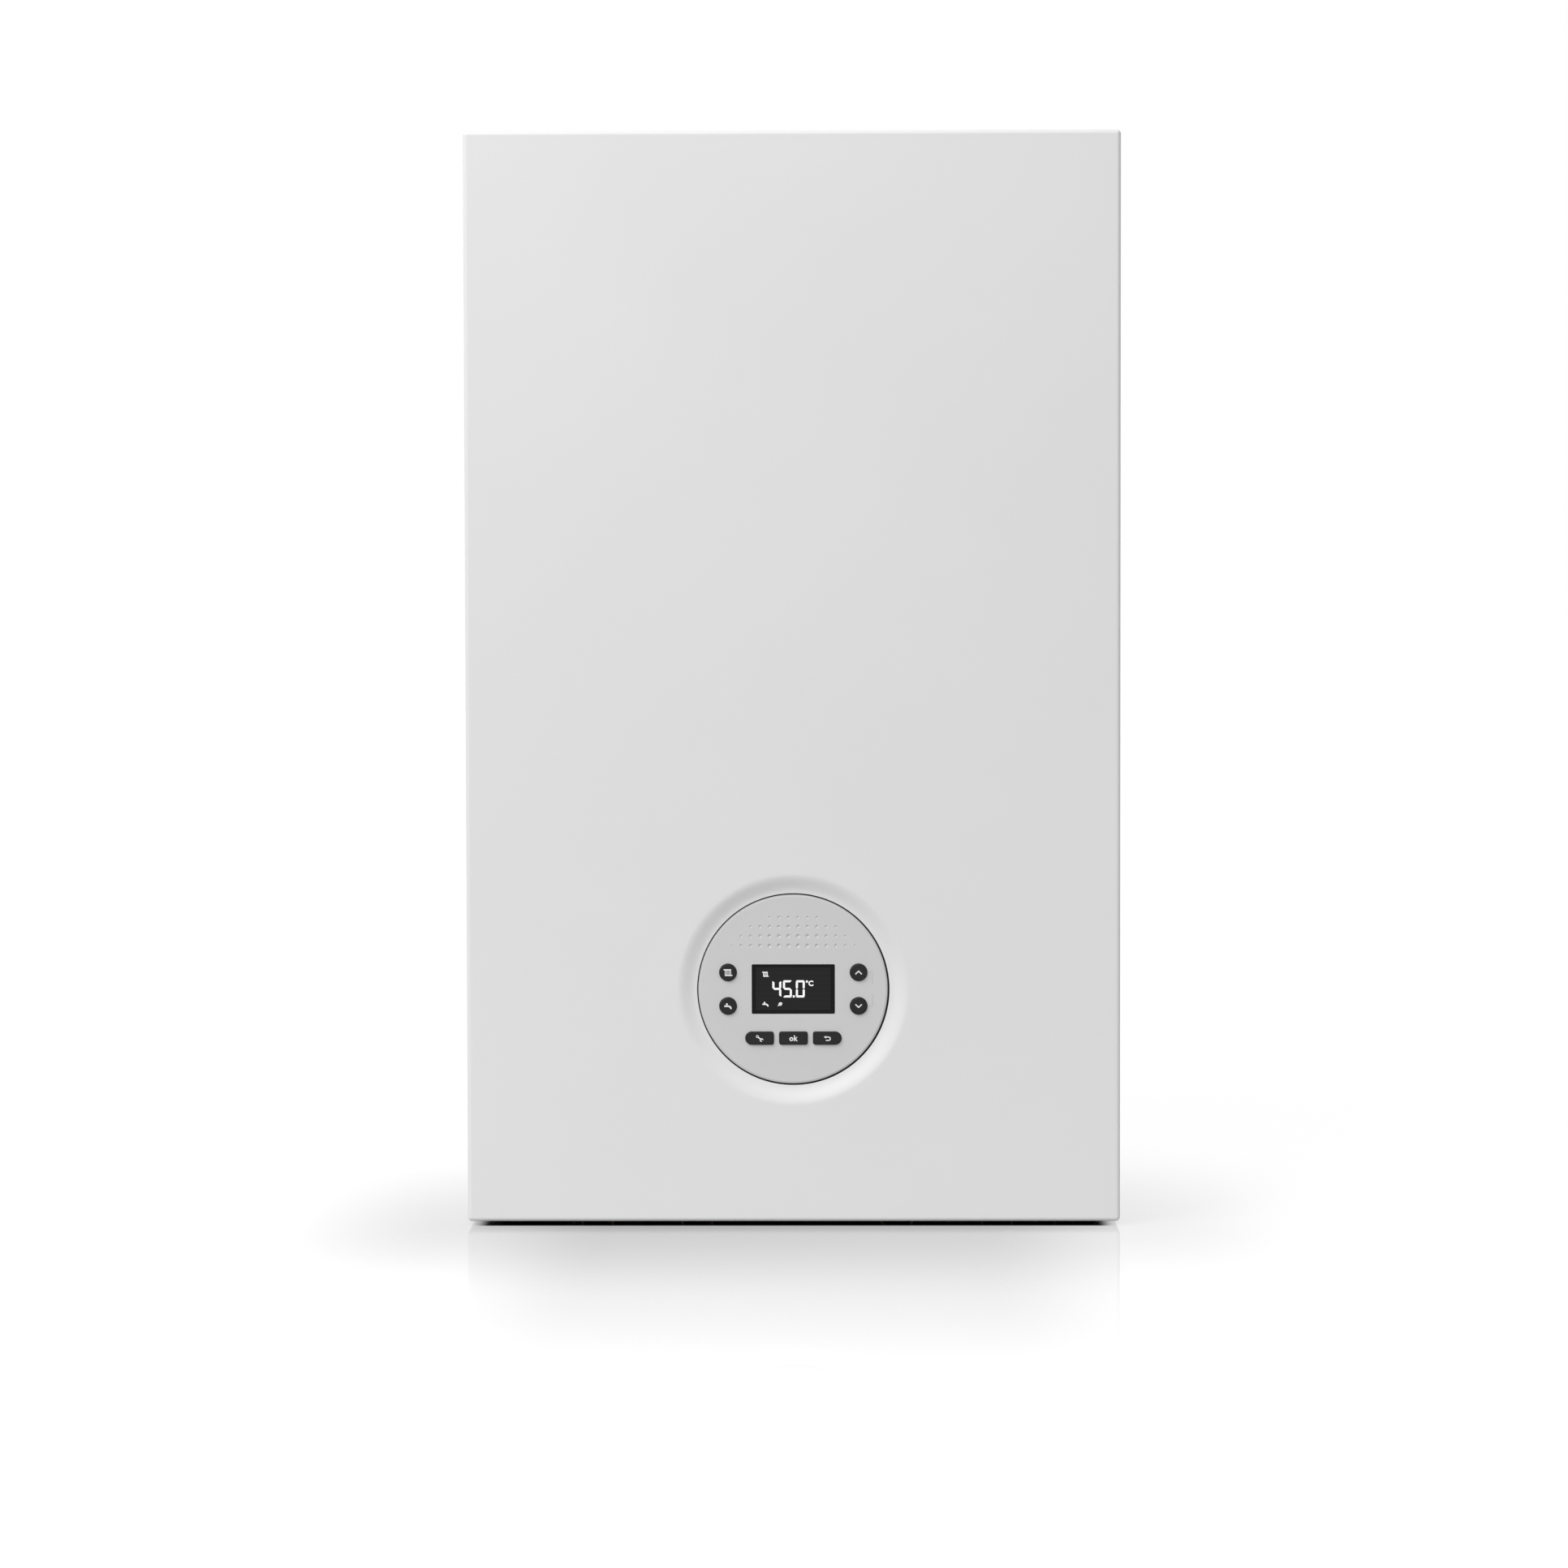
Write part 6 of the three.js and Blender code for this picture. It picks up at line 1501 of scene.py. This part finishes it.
def makePlatePack(s):
    pitch = (s["back"] - s["front"] - 2 * s["end"]) / s["count"]
    first = softBox((-s["half"] + 0.8, s["front"] + s["end"], s["low"] + 0.8),
                    (s["half"] - 0.8, s["front"] + s["end"] + pitch * 0.62, s["high"] - 0.8),
                    s["corner"], 6, "y")
    edit(first)
    bevelEdges(0.6, 2, lambda at, way: abs(way.y) < 0.1)
    leave()
    plates = stamped(first, [(0, pitch * k, 0) for k in range(s["count"])])
    core = softBox((-s["half"] + 3, s["front"] + 1, s["low"] + 3),
                   (s["half"] - 3, s["back"] - 1, s["high"] - 3), s["corner"], 6, "y")
    end = softBox((-s["half"], s["front"], s["low"]),
                  (s["half"], s["front"] + s["end"], s["high"]), s["corner"], 6, "y")
    edit(end)
    bevelEdges(0.5, 2, lambda at, way: abs(way.y) < 0.1)
    leave()
    ends = stamped(end, [(0, 0, 0), (0, s["back"] - s["end"] - s["front"], 0)])
    finished("plate_pack", joined(plates + [core] + ends), "chassis", stainless,
             ["plate_exchanger"], angle=35)


makePlatePack(platePack)

# diverter motor and pump motor
diverter = {"low": (-107, -134, -479.7), "high": (-63, -86, -425.7), "plug": -142,
            "seam": (-456, -453.5), "screwPitch": 32}
pump = {"centre": (115, 0, -470), "radius": 40, "front": -196, "back": -122.3, "finPitch": 6,
        "boltCircle": 40, "boltAngles": (45, 135, 225, 315)}


def makeDiverterMotor(s):
    body = softBox(s["low"], s["high"], 4, 4)
    x = (s["low"][0] + s["high"][0]) / 2
    cutBy(body, [rod((x, -110, s["low"][2]), "z", 3.6, 36, 24)])
    seam = softBox((s["low"][0] - 0.6, s["low"][1] - 0.6, s["seam"][0]),
                   (s["high"][0] + 0.6, s["high"][1] + 0.6, s["seam"][1]), 0.5, 2)
    plug = softBox((x - 8, s["plug"], -471.7), (x + 8, -130, -455.7), 1, 2)
    screws = stamped(screwHead((x, -110, s["high"][2] + 0.8), "z", 2.6, 1.8), [
        (side * s["screwPitch"] / 2, 0, 0) for side in (-1, 1)])
    parts = painted(nylon, body, seam) + painted(paleNylon, plug) + screws
    finished("diverter_motor_body", joined(parts), "chassis", None,
             ["diverter_motor"])


def makePumpMotor(s):
    r, front, back = s["radius"], s["front"], s["back"]
    profile = [[4.5, back], [45, back], [45, back - 6], [43.5, back - 7.5], [r - 3, back - 9]]
    y = back - 13
    while y > front + 18:  # cooling fins round the can
        profile += [[r - 3, y], [r, y - 0.8], [r, y - 2.2], [r - 3, y - 3]]
        y -= s["finPitch"]
    profile += [[r - 3, front + 12], [r - 1, front + 10], [r - 1, front + 5], [r - 5, front + 1],
                [r - 9, front], [0, front], [0, back - 35], [4.5, back - 35], [4.5, back]]
    can = turned(profile, s["centre"], "y", 72)
    x, z = s["centre"][0], s["centre"][2]
    plug = turned([[0, front + 1], [9, front + 1], [9, front - 0.2], [8, front - 1], [0, front - 1]],
                  s["centre"], "y", 32)
    cutBy(plug, [box((x - 6, front - 2, z - 0.8), (x + 6, front - 0.3, z + 0.8))])
    terminal = softBox((x - 22, front + 4, z + 25), (x + 22, back - 14, z + 52), 3, 3)
    lid = softBox((x - 19, front + 8, z + 51), (x + 19, back - 18, z + 53), 0.8, 2)
    screws = stamped(screwHead((x, 0, z + 53.6), "z", 2.4, 1.4), [
        (a, y, 0) for a in (-15, 15) for y in (front + 12, back - 22)])
    bolts = stamped(screwHead((x, back - 9.5, z), "y", 3, 3), [
        (a, 0, b) for a, b in onCircle(s["boltCircle"], s["boltAngles"])])
    parts = painted(castAlloy, can) + painted(nylon, terminal, lid) + painted(brass, plug)
    finished("pump_motor_can", joined(parts + screws + bolts), "chassis", None,
             ["pump_motor"])


makeDiverterMotor(diverter)
makePumpMotor(pump)
print("vessel and hydraulics made")

# condensate trap: screwed cup on a threaded spigot
trap = {"middle": (168, -55, 0), "radius": 20, "top": -395}


def makeTrap(s):
    r = s["radius"]
    body = turned([[0, -572], [7.5, -572], [7.5, -592], [9.3, -592], [10, -591], [10, -558],
                   [12, -556.2], [16, -556.2], [r - 1, -550], [r, -546], [r, -446],
                   [r + 1, -444], [r + 1, -441], [0, -441]], s["middle"], "z", 64)
    cap = rod((*s["middle"][:2], -433), "z", r + 3, 18, 28)
    edit(cap)
    bevelEdges(1.2, 3, lambda at, way: abs(way.z) < 0.1)
    leave()
    neck = turned([[0, -424], [r + 1, -424], [12, -410], [10, -408], [10, s["top"]],
                   [7, s["top"]], [7, -402], [0, -402]], s["middle"], "z", 48)
    parts = painted(paleNylon, body, neck) + painted(nylon, cap)
    finished("trap_cup", joined(parts), "chassis", None, ["condensate_trap"])


makeTrap(trap)

# safety valve with its red cap, filling valve with its lever, gauge and cable gland
relief = {"side": 174, "height": -538, "front": -130, "back": -95, "lobes": 8,
          "lobeSteps": 6, "capRadius": 12, "capFront": -152, "capDepth": 21.7}
filling = {"side": 97.5, "place": -160, "low": -578}
gauge = {"side": -160, "place": -165, "face": -582, "radius": 19, "rim": -587,
         "figures": 5, "marks": 17, "sweep": (225, -45), "figureSize": 3.6, "pointerTurn": -0.9}
gland = {"side": -165, "place": -60,
         "bodyProfile": [[4.5, -574], [8, -574], [9.5, -573], [12, -570], [12, -566], [4.5, -566],
                         [4.5, -574]]}


def makeReliefValve(s):
    x, z = s["side"], s["height"]
    body = turned([[4.5, s["front"]], [11, s["front"]], [11, -124], [9.5, -122], [9.5, -106],
                   [11, -104], [11, -96.5], [10, s["back"]], [0, s["back"]], [0, -116],
                   [4.5, -116], [4.5, s["front"]]], (x, 0, z), "y", 48)
    outlet = turned([[5, -592], [7, -592], [7, -575], [8.5, -573], [8.5, -566], [7, -564],
                     [7, -544], [5, -544], [5, -592]], (x, -105, 0), "z", 36)
    link = softBox((160.3, -118, z - 8), (x - 4, -102, z + 8), 1.5, 3)
    finished("relief_body", joined([body, outlet, link]), "chassis", brass,
             ["relief_valve"])
    steps = s["lobes"] * s["lobeSteps"]
    outline = []
    for k in range(steps):  # the radius swells by 1 mm at each lobe
        a = turn * k / steps
        r = s["capRadius"] + math.cos(s["lobes"] * a)
        outline.append([r * math.cos(a), r * math.sin(a)])
    cap = shape([outline], s["capDepth"], s["capFront"], (x, z))
    applied(cap, "WELD", merge_threshold=0.01 * mm)
    soften(cap, 1.4, 3, 60)
    spindle = rod((x, -125, z), "y", 4, 14, 24)
    finished("relief_cap_moulding", joined([cap, soften(spindle, 0.4, 2)]), "relief_cap",
             redCap, ["relief_knob"])


def makeFilling(s):
    x, y, low = s["side"], s["place"], s["low"]
    body = turned([[3.5, low], [9, low], [10, low + 1.5], [10, low + 16], [8.5, low + 18],
                   [8.5, -559], [10, -558.4], [6, -558.3], [6, -548], [0, -548], [0, -568],
                   [3.5, -568], [3.5, low]], (x, y, 0), "z", 48)
    collar = nut((x, y, -553.3), "z", 10, 5.6)
    finished("filling_valve_body", joined([body, collar]), "chassis", brass,
             ["filling_valve"])
    hub = turned([[0, low - 9], [7.5, low - 9], [9, low - 7.5], [9, low - 1], [8.5, low - 0.3],
                  [0, low - 0.3]], (x, y, 0), "z", 40)
    stem = rod((x, y, low + 3.5), "z", 3, 9, 24)
    arm = softBox((x - 5, y - 38, low - 8.5), (x + 5, y - 4, low - 2.5), 2, 3)
    pad = softBox((x - 5.6, y - 38, low - 9), (x + 5.6, y - 24, low - 2), 2, 3)
    finished("filling_lever_arm", joined([hub, stem, arm, pad]), "filling_lever",
             nylon, ["filling_lever"])


def makeGauge(s):
    x, y, r = s["side"], s["place"], s["radius"]
    case = turned([[r - 2, s["face"]], [r - 2, s["rim"] + 0.6], [r - 1.4, s["rim"]],
                   [r - 0.6, s["rim"]], [r, s["rim"] + 0.8], [r, -562], [r - 1.5, -558.3],
                   [4, -558.3], [4, -544.5], [0, -544.5], [0, s["face"] + 0.4],
                   [r - 2, s["face"] + 0.4]], (x, y, 0), "z", 64)
    collar = nut((x, y, -553.7), "z", 8, 4.6)
    dial = turned([[0, s["face"]], [r - 2.1, s["face"]], [r - 2.1, s["face"] + 0.5],
                   [0, s["face"] + 0.5]], (x, y, 0), "z", 48)
    # scale round three quarters of the dial: a long mark with its figure, then three short ones
    face, count = s["face"], s["marks"]
    step = (count - 1) // (s["figures"] - 1)
    start, end = s["sweep"]
    angles = [math.radians(start + (end - start) * k / (count - 1)) for k in range(count)]
    long = box((-0.25, r - 6.2, face - 0.12), (0.25, r - 3, face + 0.1))
    short = box((-0.15, r - 4.8, face - 0.12), (0.15, r - 3, face + 0.1))
    marks = []
    for mark, chosen in ((long, angles[::step]),
                         (short, [a for k, a in enumerate(angles) if k % step])):
        marks += stamped(mark, [(x, y, 0)] * len(chosen), "Z", [a - turn / 4 for a in chosen])
    for k, a in enumerate(angles[::step]):
        figure = words(str(k), s["figureSize"], 0, (0, 0), 0.2, 0.01)
        place = (x + (r - 8.2) * math.cos(a), y + (r - 8.2) * math.sin(a), face - 0.1)
        marks += stamped(figure, [place], "X", [turn / 4])
    parts = painted(nylon, case, *marks) + painted(brass, collar) + painted(dialWhite, dial)
    finished("gauge_body", joined(parts), "chassis", None, ["pressure_gauge"])
    hub = turned([[0, s["face"] - 2.3], [2.4, s["face"] - 2.3], [3, s["face"] - 1.8],
                  [3, s["face"] - 0.3], [0, s["face"] - 0.3]], (0, 0, 0), "z", 32)
    hand = box((-1, -14, s["face"] - 1.7), (1, 5, s["face"] - 0.7))
    edit(hand)
    pick("VERT", lambda at, way: at.y < -10)
    bpy.ops.transform.resize(value=(0.3, 1, 1), center_override=(0, -14 * mm, 0))
    leave()
    pointer = joined([hub, soften(hand, 0.15, 2)])
    pointer, = stamped(pointer, [(x, y, 0)], "Z", [s["pointerTurn"]])
    finished("gauge_pointer_hand", pointer, "gauge_pointer", redCap,
             ["gauge_needle"])


def makeGland(s):
    x, y = s["side"], s["place"]
    body = turned(s["bodyProfile"], (x, y, 0), "z", 36)
    grip = nut((x, y, -562.2), "z", 12, 7.6)
    thread = threaded((x, y), -560, -551.5, 8, 4.5, 1.5)
    lock = nut((x, y, -554), "z", 11, 4.4)
    cutBy(grip, [rod((x, y, -562), "z", 4.5, 12, 24)])
    cutBy(lock, [rod((x, y, -554), "z", 6, 12, 24)])
    finished("gland_body", joined([body, grip, thread, lock]), "chassis", nylon,
             ["cable_gland"])


makeReliefValve(relief)
makeFilling(filling)
makeGauge(gauge)
makeGland(gland)
print("valves, gauge and gland made")

# control box: ribbed tray with the holes behind the fascia, and its screwed lid
controlBox = {"half": 150, "front": -291, "back": -216, "low": -576, "high": -386, "wall": 2,
              "hinge": (-281, -566), "hingeRadius": 4.3, "ventPitch": 7, "ventCount": 11,
              "ventLow": -520, "ventSide": 105, "ventHalf": 22, "ribHalf": 30,
              "ribLevels": (-552, -404), "buttonHole": 7.4, "windowHole": (28, 17.8),
              "keyHole": (31.3, 5.5), "rim": 61.5, "lid": (-215.7, -213.7),
              "lidRibs": range(-120, 121, 40), "lidScrews": (134, 75), "lidMiddle": -481}


def makeControlBox(s):
    tray = box((-s["half"], s["front"], s["low"]), (s["half"], s["back"], s["high"]))
    edit(tray)
    bevelEdges(5, 4, lambda at, way: abs(way.y) > 0.9)
    bevelEdges(1.2, 2, lambda at, way: at.y < s["front"] + 0.1)
    pick("FACE", lambda at, way: way.y > 0.99)
    bpy.ops.mesh.inset(thickness=s["wall"] * mm, depth=0)
    bpy.ops.mesh.extrude_region_move(TRANSFORM_OT_translate={
        "value": (0, (s["front"] + s["wall"] - s["back"]) * mm, 0)})
    leave()
    front = s["front"]
    centre = fascia["centre"]
    cutters = stamped(rod((0, front, 0), "y", s["buttonHole"], 20, 40), [
        (x * fascia["buttonSide"], 0, centre + z * fascia["buttonRise"])
        for x, z in roundPlaces.values()])
    for (half, high), middle in ((s["windowHole"], centre),
                                 (s["keyHole"], centre - fascia["keyDrop"])):
        cutters.append(box((-half, front - 8, middle - high), (half, front + 8, middle + high)))
    # rows of cooling slots either side of the fascia, with a rib below and above them
    half, sides = s["ventHalf"], (-1, 1)
    slot = softBox((-half, front - 8, -1.2), (half, front + 8, 1.2), 1.1, 3, "y")
    cutters += stamped(slot, [(side * s["ventSide"], 0, s["ventLow"] + k * s["ventPitch"])
                              for side in sides for k in range(s["ventCount"])])
    half = s["ribHalf"]
    rib = softBox((-half, front - 1.2, -1.2), (half, front + 0.5, 1.2), 0.5, 2)
    ribs = stamped(rib, [(side * s["ventSide"], 0, z) for side in sides for z in s["ribLevels"]])
    # bearing holes and lugs for the hinge pins
    y, z = s["hinge"]
    cutters += stamped(rod((0, y, z), "x", s["hingeRadius"], 20, 32),
                       [(side * s["half"], 0, 0) for side in sides])
    cutBy(tray, [joined(cutters)])
    lug = softBox((1, front + 1, s["low"] + 1), (12, y + 8, z + 8), 1, 2)
    cutBy(lug, [rod((0, y, z), "x", s["hingeRadius"], 40, 32)])
    lugs = stamped(lug, [(-s["half"], 0, 0), (s["half"] - 13, 0, 0)])
    r = s["rim"]
    rim = turned([[r - 1, front + 0.5], [r + 1, front + 0.5], [r + 1, front - 0.9],
                  [r + 0.4, front - 1.4], [r - 0.4, front - 1.4], [r - 1, front - 0.9],
                  [r - 1, front + 0.5]], (0, 0, centre), "y", 96)
    soften(tray, 0.3, 2, 60)
    finished("control_tray_moulding", joined([tray, rim] + lugs + ribs), "control_box",
             nylon, ["control_tray"])
    near, far = s["lid"]
    lid = softBox((-s["half"], near, s["low"]), (s["half"], far, s["high"]), 5, 4, "y")
    edit(lid)
    bevelEdges(0.5, 2, lambda at, way: abs(way.y) < 0.1 and at.y > far - 0.3)
    leave()
    rib = softBox((-1, far - 0.3, s["low"] + 12), (1, far + 1.5, s["high"] - 12), 0.5, 2)
    ribs = stamped(rib, [(x, 0, 0) for x in s["lidRibs"]])
    wide, high = s["lidScrews"]
    corners = [(x * wide, s["lidMiddle"] + z * high) for x in sides for z in sides]
    posts = stamped(soften(rod((0, -232.6, 0), "y", 4, 34.5, 24), 0.4, 2),
                    [(x, 0, z) for x, z in corners])
    screws = stamped(screwHead((0, 0, 0), "y", 3, 1.8), [(x, far + 0.8, z) for x, z in corners],
                     "Z", [turn / 2] * 4)
    entry = softBox((-60, -214.5, -560), (60, -206, -548), 2, 3)  # row of cable grommets
    parts = painted(nylon, lid, *posts, *ribs, entry) + screws
    finished("control_lid_moulding", joined(parts), "control_box", None,
             ["control_lid"])


makeControlBox(controlBox)
print("control box made")
